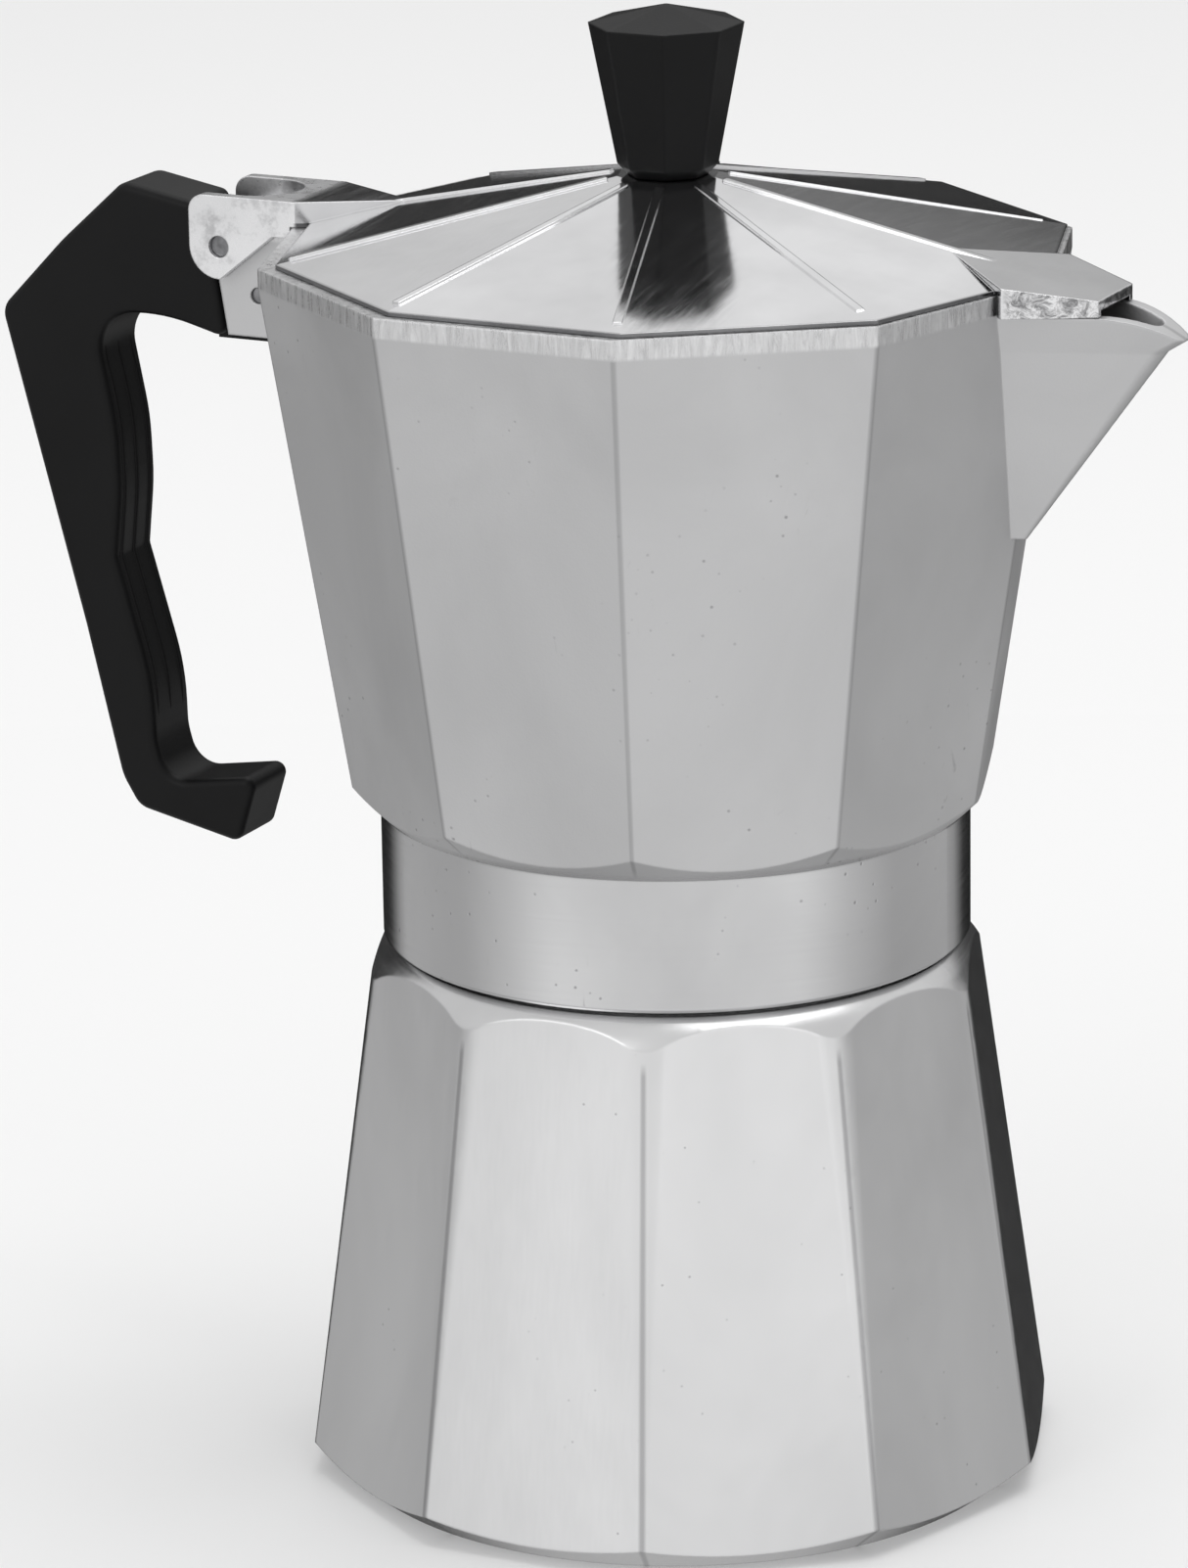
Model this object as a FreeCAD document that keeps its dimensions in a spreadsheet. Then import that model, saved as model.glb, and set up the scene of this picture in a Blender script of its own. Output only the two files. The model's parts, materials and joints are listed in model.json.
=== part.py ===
import FreeCAD, Part
import Sketcher

import math
import os

# A stove-top moka pot.
# Frame: +Z up, +X towards the spout, -X towards the handle, origin at the centre of the flat base.
# The boiler, collector and lid are ten-sided, with corners on the spout and handle lines.

DIMENSIONS = {
    # shared
    "half_face": 18.0,
    "cut_margin": 1.0,
    "arc_slack": 0.01,
    # boiler, outside
    "foot_radius": 50.6,
    "foot_cut_run": 17.0,
    "foot_cut_rise": 13.0,
    "boiler_low_radius": 57.2,
    "boiler_high_radius": 46.0,
    "boiler_low_corner": 0.6,
    "boiler_turn": 1.2,
    "boiler_high_corner": 10.0,
    "shoulder_start_radius": 47.2,
    "shoulder_start_z": 73.5,
    "shoulder_end_radius": 42.3,
    "shoulder_z": 81.2,
    "shoulder_curve": 11.1,
    "clear_radius": 75.0,
    "foot_ring_inner": 36.0,
    "foot_ring_outer": 44.0,
    "foot_ring_depth": 0.6,
    # boiler, inside
    "boiler_floor": 4.0,
    "chamber_low_radius": 50.0,
    "chamber_high_radius": 41.2,
    "chamber_high_z": 73.0,
    "chamber_corner": 3.5,
    # screw neck and its thread
    "neck_bore": 34.6,
    "neck_radius": 38.2,
    "neck_top": 99.0,
    "neck_chamfer": 0.6,
    "neck_mouth_z": 78.0,
    "thread_pitch": 4.0,
    "thread_crest": 39.3,
    "thread_start_z": 85.0,
    "thread_height": 10.0,
    "thread_root_width": 2.2,
    "thread_crest_width": 1.0,
    "groove_root": 39.7,
    "groove_start_z": 76.55,
    "groove_mouth_width": 3.1,
    "groove_root_width": 1.6,
    "thread_overlap": 0.2,
    # collector skirt and underside
    "skirt_radius": 43.6,
    "skirt_bore": 38.6,
    "skirt_low_z": 81.9,
    "skirt_top_z": 101.8,
    "skirt_chamfer": 0.6,
    "groove_height": 20.0,
    "bore_chamfer": 1.0,
    "bore_top_z": 100.3,
    "seat_radius": 36.4,
    "seat_z": 103.4,
    "plenum_radius": 29.0,
    "plenum_z": 104.8,
    "plenum_peak_z": 106.8,
    # collector jug
    "jug_low_z": 99.0,
    "jug_low_radius": 47.1,
    "under_cut_run": 20.0,
    "under_cut_rise": 19.0,
    "jug_rim_low_z": 181.4,
    "jug_rim_radius": 60.0,
    "jug_top_z": 184.3,
    "jug_corner": 0.5,
    "jug_floor_z": 109.4,
    "jug_inner_low_radius": 45.4,
    "jug_inner_top_radius": 56.6,
    "jug_inner_corner": 2.0,
    # spout
    "spout_root_x": 50.0,
    "spout_root_width": 13.4,
    "spout_shoulder_x": 85.2,
    "spout_shoulder_width": 1.6,
    "spout_nose_radius": 1.8,
    "spout_top_z": 181.2,
    "spout_foot_z": 146.5,
    "spout_foot_x": 55.7,
    "spout_foot_width": 0.7,
    "spout_foot_root_width": 2.4,
    "spout_foot_nose": 0.75,
    "spout_flare_z": 175.8,
    "spout_flare_x": 75.9,
    "spout_flare_width": 2.47,
    "spout_flare_root_width": 11.6,
    "spout_flare_nose": 2.65,
    "trough_root_x": 46.0,
    "trough_root_width": 12.3,
    "trough_end_x": 76.6,
    "trough_end_width": 2.2,
    "trough_nose": 2.4,
    "trough_foot_root_width": 1.2,
    "trough_foot_x": 52.0,
    "trough_foot_width": 0.4,
    "trough_foot_nose": 0.45,
    "lip_start_x": 68.5,
    "lip_radius": 22.0,
    "lip_end_x": 86.0,
    # hinge lug on the collector
    "hinge_x": -69.9,
    "hinge_z": 180.4,
    "hinge_pin_radius": 1.6,
    "hinge_pin_half": 7.4,
    "hinge_play": 0.05,
    "knuckle_radius": 4.5,
    "lug_half": 6.1,
    "lug_foot_x": -69.8,
    "lug_neck_x": -71.3,
    "lug_root_x": -54.9,
    "lug_root_top_x": -57.3,
    "lug_root_top_z": 183.0,
    "lug_foot_z": 166.7,
    "slot_half": 3.0,
    "slot_end_x": -61.0,
    "slot_top_z": 175.4,
    "handle_pin_x": -64.6,
    "handle_pin_z": 173.0,
    "handle_pin_radius": 1.2,
    "handle_pin_half": 5.6,
    # lid
    "lid_radius": 58.3,
    "lid_shift": 1.0,
    "lid_low_z": 184.35,
    "lid_edge_z": 184.95,
    "lid_top_radius": 7.5,
    "lid_top_z": 195.3,
    "lid_inner_radius": 55.6,
    "lid_inner_top_z": 193.0,
    "bead_inner": 9.0,
    "bead_outer": 55.4,
    "bead_height": 0.3,
    "bead_depth": 0.8,
    "bead_width": 1.3,
    "lid_screw_hole": 2.1,
    # lid tab over the spout
    "tab_point_x": 44.0,
    "tab_tip_half": 0.4,
    "tab_hollow_start": 7.0,
    "tab_wide_x": 57.4,
    "tab_wide_half": 12.6,
    "tab_end_x": 69.6,
    "tab_end_half": 6.4,
    "tab_high_z": 187.9,
    "tab_end_z": 183.6,
    "tab_foot_z": 181.3,
    "tab_wall": 1.5,
    # hinge housing of the lid
    "housing_point_x": -41.6,
    "housing_shoulder_x": -57.0,
    "housing_half": 8.2,
    "housing_top_z": 188.1,
    "housing_corner": 2.5,
    "ear_end_x": -74.8,
    "ear_radius": 4.9,
    "ear_gap_half": 6.4,
    "ear_back_x": -60.9,
    "ear_back_z": 182.6,
    "ear_low_z": 174.0,
    "ear_margin": 4.0,
    "rim_play": 0.5,
    "notch_end_x": -60.4,
    # handle
    "handle_half": 6.0,
    "handle_round": 1.4,
    "tenon_half": 2.95,
    "handle_neck_x": -71.75,
    "handle_cup_radius": 4.85,
    "tenon_low_z": 165.4,
    "tenon_play": 0.5,
    # knob
    "knob_low_z": 195.4,
    "knob_low_radius": 6.0,
    "knob_rounding": 0.1,
    "knob_waist_z": 196.9,
    "knob_waist_radius": 7.4,
    "knob_rim_z": 217.4,
    "knob_rim_radius": 11.35,
    "knob_peak_z": 220.0,
    "knob_peak_radius": 0.5,
    "insert_radius": 3.4,
    "insert_length": 10.0,
    "screw_radius": 2.0,
    "screw_length": 9.0,
    "screw_head_radius": 3.7,
    "screw_head_height": 2.2,
    "screw_slot_half": 0.5,
    "screw_slot_depth": 1.0,
    "washer_radius": 5.0,
    "washer_thickness": 0.8,
    # funnel
    "flange_radius": 38.0,
    "flange_top_z": 99.8,
    "basket_radius": 34.2,
    "basket_wall": 0.9,
    "basket_low_z": 76.0,
    "basket_cone_z": 70.0,
    "collar_radius": 7.4,
    "collar_low_z": 65.0,
    "tube_radius": 6.0,
    "tube_bore": 5.0,
    "tube_top_z": 70.8,
    "tube_low_z": 7.0,
    "tube_play": 0.03,
    "ledge_radius": 32.0,
    "plate_play": 0.1,
    "plate_low_z": 77.2,
    "plate_thickness": 0.8,
    "plate_hole": 0.9,
    # gasket and filter plate
    "gasket_outer": 36.0,
    "gasket_inner": 29.5,
    "gasket_top_z": 102.7,
    "gasket_chamfer": 0.4,
    "filter_radius": 35.8,
    "filter_hole": 0.7,
    # riser
    "riser_spigot": 5.2,
    "riser_spigot_low_z": 106.9,
    "riser_flange": 9.5,
    "riser_flange_top_z": 111.0,
    "riser_low_radius": 7.4,
    "riser_high_radius": 5.6,
    "riser_shoulder_z": 158.0,
    "riser_top_radius": 4.6,
    "riser_top_z": 163.0,
    "riser_bore": 3.2,
    "cap_roof_z": 167.0,
    "cap_top_z": 169.5,
    "cap_window_low_z": 163.2,
    "cap_window_high_z": 166.4,
    "cap_window_half": 1.8,
    # safety valve, along its own axis from the boss face outwards
    "valve_z": 58.0,
    "boss_face_y": 48.6,
    "boss_root_y": 44.0,
    "boss_radius": 8.6,
    "shank_radius": 4.6,
    "shank_inner": -6.6,
    "shank_play": 0.03,
    "shank_chamfer": 0.5,
    "valve_hole_depth": 12.0,
    "seal_thickness": 1.0,
    "seal_radius": 7.6,
    "hex_radius": 7.5,
    "hex_top": 6.6,
    "valve_seat": -3.8,
    "inlet_bore": 1.6,
    "chamber_bore": 3.0,
    "poppet_radius": 2.6,
    "poppet_thickness": 1.3,
    "stem_radius": 1.1,
    "stem_top": 8.4,
    "stem_chamfer": 0.4,
    "cap_low": 5.2,
    "cap_bore": 1.35,
    "cap_radius": 5.0,
    "cap_height": 1.2,
    "spring_radius": 2.15,
    "spring_wire": 0.28,
    "spring_turns": 5.5,
    "spring_gap": 0.05,
}

# The handle's side outline: (x, z, corner radius), anticlockwise seen from the front.
HANDLE_OUTLINE = [
    (-75.5, 186.2, 1.6),
    (-87.5, 188.4, 3.0),
    (-98.4, 178.6, 40.0),
    (-109.2, 167.4, 3.2),
    (-96.6, 119.5, 60.0),
    (-91.0, 95.8, 8.0),
    (-88.2, 91.2, 3.5),
    (-70.9, 87.4, 1.8),
    (-67.5, 98.2, 1.6),
    (-83.3, 95.7, 4.5),
    (-85.0, 102.0, 10.0),
    (-85.2, 111.0, 40.0),
    (-90.7, 130.2, 1.5),
    (-89.6, 140.5, 40.0),
    (-89.9, 150.3, 40.0),
    (-93.4, 168.0, 6.0),
    (-81.2, 168.6, 30.0),
    (-70.3, 165.7, 1.6),
    (-71.75, 176.0, 5.0),
]
for number, point in enumerate(HANDLE_OUTLINE, start=1):
    DIMENSIONS[f"handle_x{number}"] = point[0]
    DIMENSIONS[f"handle_z{number}"] = point[1]
    DIMENSIONS[f"handle_corner{number}"] = point[2]

doc = FreeCAD.newDocument("moka_pot")
dims = doc.addObject("Spreadsheet::Sheet", "dims")
for row, (alias, value) in enumerate(DIMENSIONS.items(), start=1):
    dims.set(f"A{row}", alias)
    dims.set(f"B{row}", str(value))
    dims.setAlias(f"B{row}", alias)
doc.recompute()

nodes = []


# ---------------------------------------------------------------- helpers

def cell(text):
    """The value of an expression made of sheet aliases."""
    value = dims.evalExpression(text)
    return float(getattr(value, "Value", value))


def new_body(name):
    """A sub-part: a body with the node's name."""
    body = doc.addObject("PartDesign::Body", name)
    body.Label = name
    nodes.append(body)
    return body


def origin_feature(body, role):
    """A plane or axis of the body's own origin."""
    return next(item for item in body.Origin.OriginFeatures if item.Role == role)


def arc_between(start, end, radius):
    """The short arc of a given radius, running anticlockwise from start to end."""
    chord = end - start
    left = FreeCAD.Vector(-chord.y, chord.x, 0).normalize()
    rise = math.sqrt(max(radius ** 2 - (chord.Length / 2) ** 2, 0.0))
    centre = (start + end) * 0.5 + left * rise
    first = math.atan2(start.y - centre.y, start.x - centre.x)
    last = math.atan2(end.y - centre.y, end.x - centre.x)
    if last < first:
        last += 2 * math.pi
    return Part.ArcOfCircle(Part.Circle(centre, FreeCAD.Vector(0, 0, 1), radius), first, last)


def sketch(body, name, role, corners, offset=None, shift=None):
    """A closed sketch on an origin plane.

    Each corner is a pair of expressions; a third one makes the edge that follows an arc of that radius,
    bulging to the right of the way if positive and to the left if negative.
    Every corner's place and every arc's radius is bound to the sheet.
    """
    item = body.newObject("Sketcher::SketchObject", name)
    item.AttachmentSupport = [(origin_feature(body, role), "")]
    item.MapMode = "FlatFace"
    if offset is not None:
        item.setExpression("AttachmentOffset.Base.z", offset)
    if shift is not None:
        item.setExpression("AttachmentOffset.Base.x", shift)
    points = [FreeCAD.Vector(cell(corner[0]), cell(corner[1]), 0) for corner in corners]
    count = len(corners)
    places = []
    for index, corner in enumerate(corners):
        start = points[index]
        end = points[(index + 1) % count]
        if len(corner) == 3:
            radius = cell(corner[2])
            ends = (start, end) if radius > 0 else (end, start)
            edge = item.addGeometry(arc_between(*ends, abs(radius)), False)
            places.append((edge, 1, 2) if radius > 0 else (edge, 2, 1))
        else:
            edge = item.addGeometry(Part.LineSegment(start, end), False)
            places.append((edge, 1, 2))
    for index in range(count):
        edge, first, last = places[index]
        following = places[(index + 1) % count]
        item.addConstraint(Sketcher.Constraint("Coincident", edge, last, following[0], following[1]))
    for index, corner in enumerate(corners):
        edge, first, last = places[index]
        for kind, text, axis, actual in (("DistanceX", corner[0], -2, points[index].x),
                                         ("DistanceY", corner[1], -1, points[index].y)):
            if abs(actual) < 1e-9:
                item.addConstraint(Sketcher.Constraint("PointOnObject", edge, first, axis))
            else:
                rule = item.addConstraint(Sketcher.Constraint(kind, -1, 1, edge, first, actual))
                item.setExpression(f"Constraints[{rule}]", text)
        if len(corner) == 3:
            radius = abs(cell(corner[2]))
            rule = item.addConstraint(Sketcher.Constraint("Radius", edge, radius))
            item.setExpression(f"Constraints[{rule}]", f"abs({corner[2]})")
    return item


def rounded_sketch(body, name, role, corners):
    """A closed sketch of straight edges joined by tangent arcs.

    Each corner is (x, y, radius) in expressions; x and y place the sharp corner that the arc rounds off.
    """
    item = body.newObject("Sketcher::SketchObject", name)
    item.AttachmentSupport = [(origin_feature(body, role), "")]
    item.MapMode = "FlatFace"
    points = [FreeCAD.Vector(cell(corner[0]), cell(corner[1]), 0) for corner in corners]
    count = len(corners)
    bends = []
    for index, corner in enumerate(corners):
        point = points[index]
        before = (point - points[index - 1]).normalize()
        after = (points[(index + 1) % count] - point).normalize()
        turn = before.getAngle(after)
        to_left = before.cross(after).z > 0
        reach = cell(corner[2]) * math.tan(turn / 2)
        ends = (point - before * reach, point + after * reach)
        bends.append((ends, to_left))
    arcs = []
    lines = []
    for index, corner in enumerate(corners):
        (first, last), to_left = bends[index]
        ends = (first, last) if to_left else (last, first)
        arcs.append(item.addGeometry(arc_between(*ends, cell(corner[2])), False))
        following = bends[(index + 1) % count][0][0]
        lines.append(item.addGeometry(Part.LineSegment(last, following), False))
    for index, corner in enumerate(corners):
        to_left = bends[index][1]
        arc = arcs[index]
        entry, leave = (1, 2) if to_left else (2, 1)
        item.addConstraint(Sketcher.Constraint("Tangent", lines[index - 1], 2, arc, entry))
        item.addConstraint(Sketcher.Constraint("Tangent", arc, leave, lines[index], 1))
        point = item.addGeometry(Part.Point(points[index]), True)
        item.addConstraint(Sketcher.Constraint("PointOnObject", point, 1, lines[index - 1]))
        item.addConstraint(Sketcher.Constraint("PointOnObject", point, 1, lines[index]))
        for kind, text, actual in (("DistanceX", corner[0], points[index].x),
                                   ("DistanceY", corner[1], points[index].y)):
            rule = item.addConstraint(Sketcher.Constraint(kind, -1, 1, point, 1, actual))
            item.setExpression(f"Constraints[{rule}]", text)
        rule = item.addConstraint(Sketcher.Constraint("Radius", arc, cell(corner[2])))
        item.setExpression(f"Constraints[{rule}]", corner[2])
    return item


def circle_sketch(body, name, role, x, y, radius, offset=None):
    """A sketch with one circle whose centre and radius are bound to the sheet."""
    item = body.newObject("Sketcher::SketchObject", name)
    item.AttachmentSupport = [(origin_feature(body, role), "")]
    item.MapMode = "FlatFace"
    if offset is not None:
        item.setExpression("AttachmentOffset.Base.z", offset)
    centre = FreeCAD.Vector(cell(x), cell(y), 0)
    edge = item.addGeometry(Part.Circle(centre, FreeCAD.Vector(0, 0, 1), cell(radius)), False)
    for kind, text, axis, actual in (("DistanceX", x, -2, centre.x), ("DistanceY", y, -1, centre.y)):
        if abs(actual) < 1e-9:
            item.addConstraint(Sketcher.Constraint("PointOnObject", edge, 3, axis))
        else:
            rule = item.addConstraint(Sketcher.Constraint(kind, -1, 1, edge, 3, actual))
            item.setExpression(f"Constraints[{rule}]", text)
    rule = item.addConstraint(Sketcher.Constraint("Radius", edge, cell(radius)))
    item.setExpression(f"Constraints[{rule}]", radius)
    return item


def turned(body, name, corners, cut=False):
    """A solid, or a cut, turned about the body's Z axis from a profile of (radius, height) corners."""
    profile = sketch(body, f"{name}_profile", "XZ_Plane", corners)
    feature = body.newObject("PartDesign::Groove" if cut else "PartDesign::Revolution", name)
    feature.Profile = profile
    feature.ReferenceAxis = (profile, ["V_Axis"])
    feature.Angle = 360
    return feature


def pulled(body, name, profile, length, cut=False):
    """A pad or pocket that runs the given length to both sides of its sketch plane together."""
    feature = body.newObject("PartDesign::Pocket" if cut else "PartDesign::Pad", name)
    feature.Profile = profile
    feature.SideType = "Symmetric"
    feature.Type = "Length"
    feature.setExpression("Length", length)
    return feature


def lofted(body, name, sections, cut=False):
    """A straight-sided loft through the sketches, or a cut of that shape."""
    feature = body.newObject("PartDesign::SubtractiveLoft" if cut else "PartDesign::AdditiveLoft", name)
    feature.Profile = sections[0]
    feature.Sections = sections[1:]
    feature.Ruled = True
    return feature


def repeated(body, name, feature, count):
    """A feature repeated evenly round the body's Z axis."""
    pattern = body.newObject("PartDesign::PolarPattern", name)
    pattern.Originals = [feature]
    pattern.Axis = (origin_feature(body, "Z_Axis"), [""])
    pattern.Angle = 360
    pattern.Occurrences = count
    body.Tip = pattern
    return pattern


def polygon(radius, sides):
    """The corners of a regular polygon, as expressions of its corner radius."""
    corners = []
    for index in range(sides):
        angle = index * 360.0 / sides
        corners.append((f"{radius} * cos({angle} deg)", f"{radius} * sin({angle} deg)"))
    return corners


def rounded_polygon(radius, corner, sides):
    """A regular outline with a face's middle on +X and rounded corners, as expressions."""
    half = 180.0 / sides
    flat = f"({radius} * cos({half} deg))"
    reach = f"({radius} * sin({half} deg) - {corner} * tan({half} deg))"
    corners = []
    for index in range(sides):
        angle = index * 2 * half
        cosine = f"cos({angle} deg)"
        sine = f"sin({angle} deg)"
        corners.append((f"{flat} * {cosine} + {reach} * {sine}", f"{flat} * {sine} - {reach} * {cosine}"))
        corners.append((f"{flat} * {cosine} - {reach} * {sine}",
                        f"{flat} * {sine} + {reach} * {cosine}", corner))
    return corners


def rounded_decagon(radius, corner, turn="0"):
    """A ten-sided outline with rounded corners, one of them on +X before any turn in degrees."""
    flat = f"({radius} * cos(dims.half_face * 1 deg))"
    reach = f"({radius} * sin(dims.half_face * 1 deg) - {corner} * tan(dims.half_face * 1 deg))"
    corners = []
    for index in range(10):
        angle = f"((dims.half_face * {2 * index + 1} + {turn}) * 1 deg)"
        corners.append((f"{flat} * cos{angle} + {reach} * sin{angle}",
                        f"{flat} * sin{angle} - {reach} * cos{angle}"))
        corners.append((f"{flat} * cos{angle} - {reach} * sin{angle}",
                        f"{flat} * sin{angle} + {reach} * cos{angle}", corner))
    return corners


def drilled_rings(body, name, hole_radius, thickness_from, depth, rings):
    """Rings of small holes through a disc: each ring is one hole repeated round the axis."""
    for number, (ring_radius, count) in enumerate(rings, start=1):
        hole = circle_sketch(body, f"{name}_hole_{number}", "XY_Plane", str(ring_radius), "0",
                             hole_radius, thickness_from)
        pocket = pulled(body, f"{name}_drill_{number}", hole, depth, cut=True)
        repeated(body, f"{name}_ring_{number}", pocket, count)


def extruded(body, name, profile, length, cut=False, reverse=False):
    """A pad or pocket that runs the given length to one side of its sketch plane."""
    feature = body.newObject("PartDesign::Pocket" if cut else "PartDesign::Pad", name)
    feature.Profile = profile
    feature.Reversed = reverse
    feature.setExpression("Length", length)
    return feature


def helix(body, name, profile, pitch, height, cut=False):
    """A right-hand helical ridge, or groove, swept from a profile in the XZ plane."""
    feature = body.newObject("PartDesign::SubtractiveHelix" if cut else "PartDesign::AdditiveHelix", name)
    feature.Profile = profile
    feature.ReferenceAxis = (profile, ["V_Axis"])
    feature.Mode = 0
    feature.setExpression("Pitch", pitch)
    feature.setExpression("Height", height)
    feature.LeftHanded = False
    feature.Reversed = False
    return feature


def mirrored_outline(half):
    """A closed outline, symmetric about the horizontal axis, from the (x, half width) of its lower side.

    The last corner of the half is joined to its mirror image by a rounded nose of the given radius.
    """
    lower = [(x, f"-({width})") for x, width in half[:-1]]
    nose_x, nose_width, nose_radius = half[-1]
    upper = [(x, width) for x, width in reversed(half[:-1])]
    return lower + [(nose_x, f"-({nose_width})", nose_radius), (nose_x, nose_width)] + upper


# ---------------------------------------------------------------- boiler

boiler = new_body("boiler")
lofted(boiler, "faceted_wall", [
    sketch(boiler, "foot_outline", "XY_Plane",
           rounded_decagon("dims.boiler_low_radius", "dims.boiler_low_corner", "dims.boiler_turn")),
    sketch(boiler, "top_outline", "XY_Plane",
           rounded_decagon("dims.boiler_high_radius", "dims.boiler_high_corner", "dims.boiler_turn"),
           "dims.shoulder_z"),
])
turned(boiler, "foot_chamfer", [
    ("dims.foot_radius", "0"),
    ("dims.foot_radius + dims.foot_cut_run", "0"),
    ("dims.foot_radius + dims.foot_cut_run", "dims.foot_cut_rise"),
], cut=True)
turned(boiler, "round_shoulder", [
    ("dims.shoulder_start_radius", "dims.shoulder_start_z", "dims.shoulder_curve"),
    ("dims.shoulder_end_radius", "dims.shoulder_z"),
    ("dims.clear_radius", "dims.shoulder_z"),
    ("dims.clear_radius", "dims.shoulder_start_z"),
], cut=True)
turned(boiler, "foot_ring", [
    ("dims.foot_ring_inner", "0"),
    ("dims.foot_ring_outer", "0"),
    ("dims.foot_ring_outer - dims.foot_ring_depth", "dims.foot_ring_depth"),
    ("dims.foot_ring_inner + dims.foot_ring_depth", "dims.foot_ring_depth"),
], cut=True)
turned(boiler, "neck", [
    ("0", "dims.neck_mouth_z"),
    ("dims.neck_radius", "dims.neck_mouth_z"),
    ("dims.neck_radius", "dims.neck_top - dims.neck_chamfer"),
    ("dims.neck_radius - dims.neck_chamfer", "dims.neck_top"),
    ("0", "dims.neck_top"),
])
boss_outline = circle_sketch(boiler, "boss_outline", "XZ_Plane", "0", "dims.valve_z", "dims.boss_radius",
                             "-dims.boss_face_y")
extruded(boiler, "valve_boss", boss_outline, "dims.boss_face_y - dims.boss_root_y")
turned(boiler, "chamber", [
    ("0", "dims.boiler_floor"),
    ("dims.chamber_low_radius - dims.chamber_corner", "dims.boiler_floor", "dims.chamber_corner"),
    ("dims.chamber_low_radius", "dims.boiler_floor + dims.chamber_corner"),
    ("dims.chamber_high_radius", "dims.chamber_high_z"),
    ("dims.neck_bore", "dims.neck_mouth_z"),
    ("dims.neck_bore", "dims.neck_top + dims.cut_margin"),
    ("0", "dims.neck_top + dims.cut_margin"),
], cut=True)
valve_hole_outline = circle_sketch(boiler, "valve_hole_outline", "XZ_Plane", "0", "dims.valve_z",
                                   "dims.shank_radius + dims.shank_play", "-dims.boss_face_y")
extruded(boiler, "valve_hole", valve_hole_outline, "dims.valve_hole_depth", cut=True, reverse=True)
male_thread = sketch(boiler, "thread_outline", "XZ_Plane", [
    ("dims.neck_radius - dims.thread_overlap", "dims.thread_start_z"),
    ("dims.thread_crest", "dims.thread_start_z + (dims.thread_root_width - dims.thread_crest_width) / 2"),
    ("dims.thread_crest", "dims.thread_start_z + (dims.thread_root_width + dims.thread_crest_width) / 2"),
    ("dims.neck_radius - dims.thread_overlap", "dims.thread_start_z + dims.thread_root_width"),
])
helix(boiler, "thread", male_thread, "dims.thread_pitch", "dims.thread_height")

# ---------------------------------------------------------------- safety valve

valve_bodies = []

valve_body = new_body("valve_body")
valve_bodies.append(valve_body)
turned(valve_body, "shank", [
    ("0", "dims.shank_inner"),
    ("dims.shank_radius - dims.shank_chamfer", "dims.shank_inner"),
    ("dims.shank_radius", "dims.shank_inner + dims.shank_chamfer"),
    ("dims.shank_radius", "dims.seal_thickness + dims.shank_chamfer"),
    ("0", "dims.seal_thickness + dims.shank_chamfer"),
])
hexagon = sketch(valve_body, "hexagon", "XY_Plane", polygon("dims.hex_radius", 6), "dims.seal_thickness")
extruded(valve_body, "hex_head", hexagon, "dims.hex_top - dims.seal_thickness")
turned(valve_body, "hex_chamfer", [
    ("dims.hex_radius * cos(30 deg)", "dims.hex_top"),
    ("dims.hex_radius + dims.cut_margin", "dims.hex_top - dims.shank_chamfer"),
    ("dims.hex_radius + dims.cut_margin", "dims.hex_top + dims.cut_margin"),
    ("dims.hex_radius * cos(30 deg)", "dims.hex_top + dims.cut_margin"),
], cut=True)
turned(valve_body, "valve_bore", [
    ("0", "dims.shank_inner - dims.cut_margin"),
    ("dims.inlet_bore", "dims.shank_inner - dims.cut_margin"),
    ("dims.inlet_bore", "dims.valve_seat"),
    ("dims.chamber_bore", "dims.valve_seat"),
    ("dims.chamber_bore", "dims.hex_top + dims.cut_margin"),
    ("0", "dims.hex_top + dims.cut_margin"),
], cut=True)

valve_seal = new_body("valve_seal")
valve_bodies.append(valve_seal)
turned(valve_seal, "seal_ring", [
    ("dims.shank_radius + dims.shank_play", "0"),
    ("dims.seal_radius", "0"),
    ("dims.seal_radius", "dims.seal_thickness"),
    ("dims.shank_radius + dims.shank_play", "dims.seal_thickness"),
])

valve_plunger = new_body("valve_plunger")
valve_bodies.append(valve_plunger)
turned(valve_plunger, "poppet_and_stem", [
    ("0", "dims.valve_seat"),
    ("dims.poppet_radius", "dims.valve_seat"),
    ("dims.poppet_radius", "dims.valve_seat + dims.poppet_thickness"),
    ("dims.stem_radius", "dims.valve_seat + dims.poppet_thickness"),
    ("dims.stem_radius", "dims.stem_top - dims.stem_chamfer"),
    ("dims.stem_radius - dims.stem_chamfer", "dims.stem_top"),
    ("0", "dims.stem_top"),
])

valve_spring = new_body("valve_spring")
valve_bodies.append(valve_spring)
wire = circle_sketch(valve_spring, "wire", "XZ_Plane", "dims.spring_radius",
                     "dims.valve_seat + dims.poppet_thickness + dims.spring_gap + dims.spring_wire",
                     "dims.spring_wire")
SPRING_ROOM = "(dims.cap_low - dims.valve_seat - dims.poppet_thickness)"
SPRING_HEIGHT = f"({SPRING_ROOM} - 2 * dims.spring_gap - 2 * dims.spring_wire)"
helix(valve_spring, "coil", wire, f"{SPRING_HEIGHT} / dims.spring_turns", SPRING_HEIGHT)

valve_retainer = new_body("valve_retainer")
valve_bodies.append(valve_retainer)
turned(valve_retainer, "retaining_cap", [
    ("dims.cap_bore", "dims.cap_low"),
    ("dims.chamber_bore - dims.shank_play", "dims.cap_low"),
    ("dims.chamber_bore - dims.shank_play", "dims.hex_top"),
    ("dims.cap_radius", "dims.hex_top"),
    ("dims.cap_bore", "dims.hex_top + dims.cap_height"),
])

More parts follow.
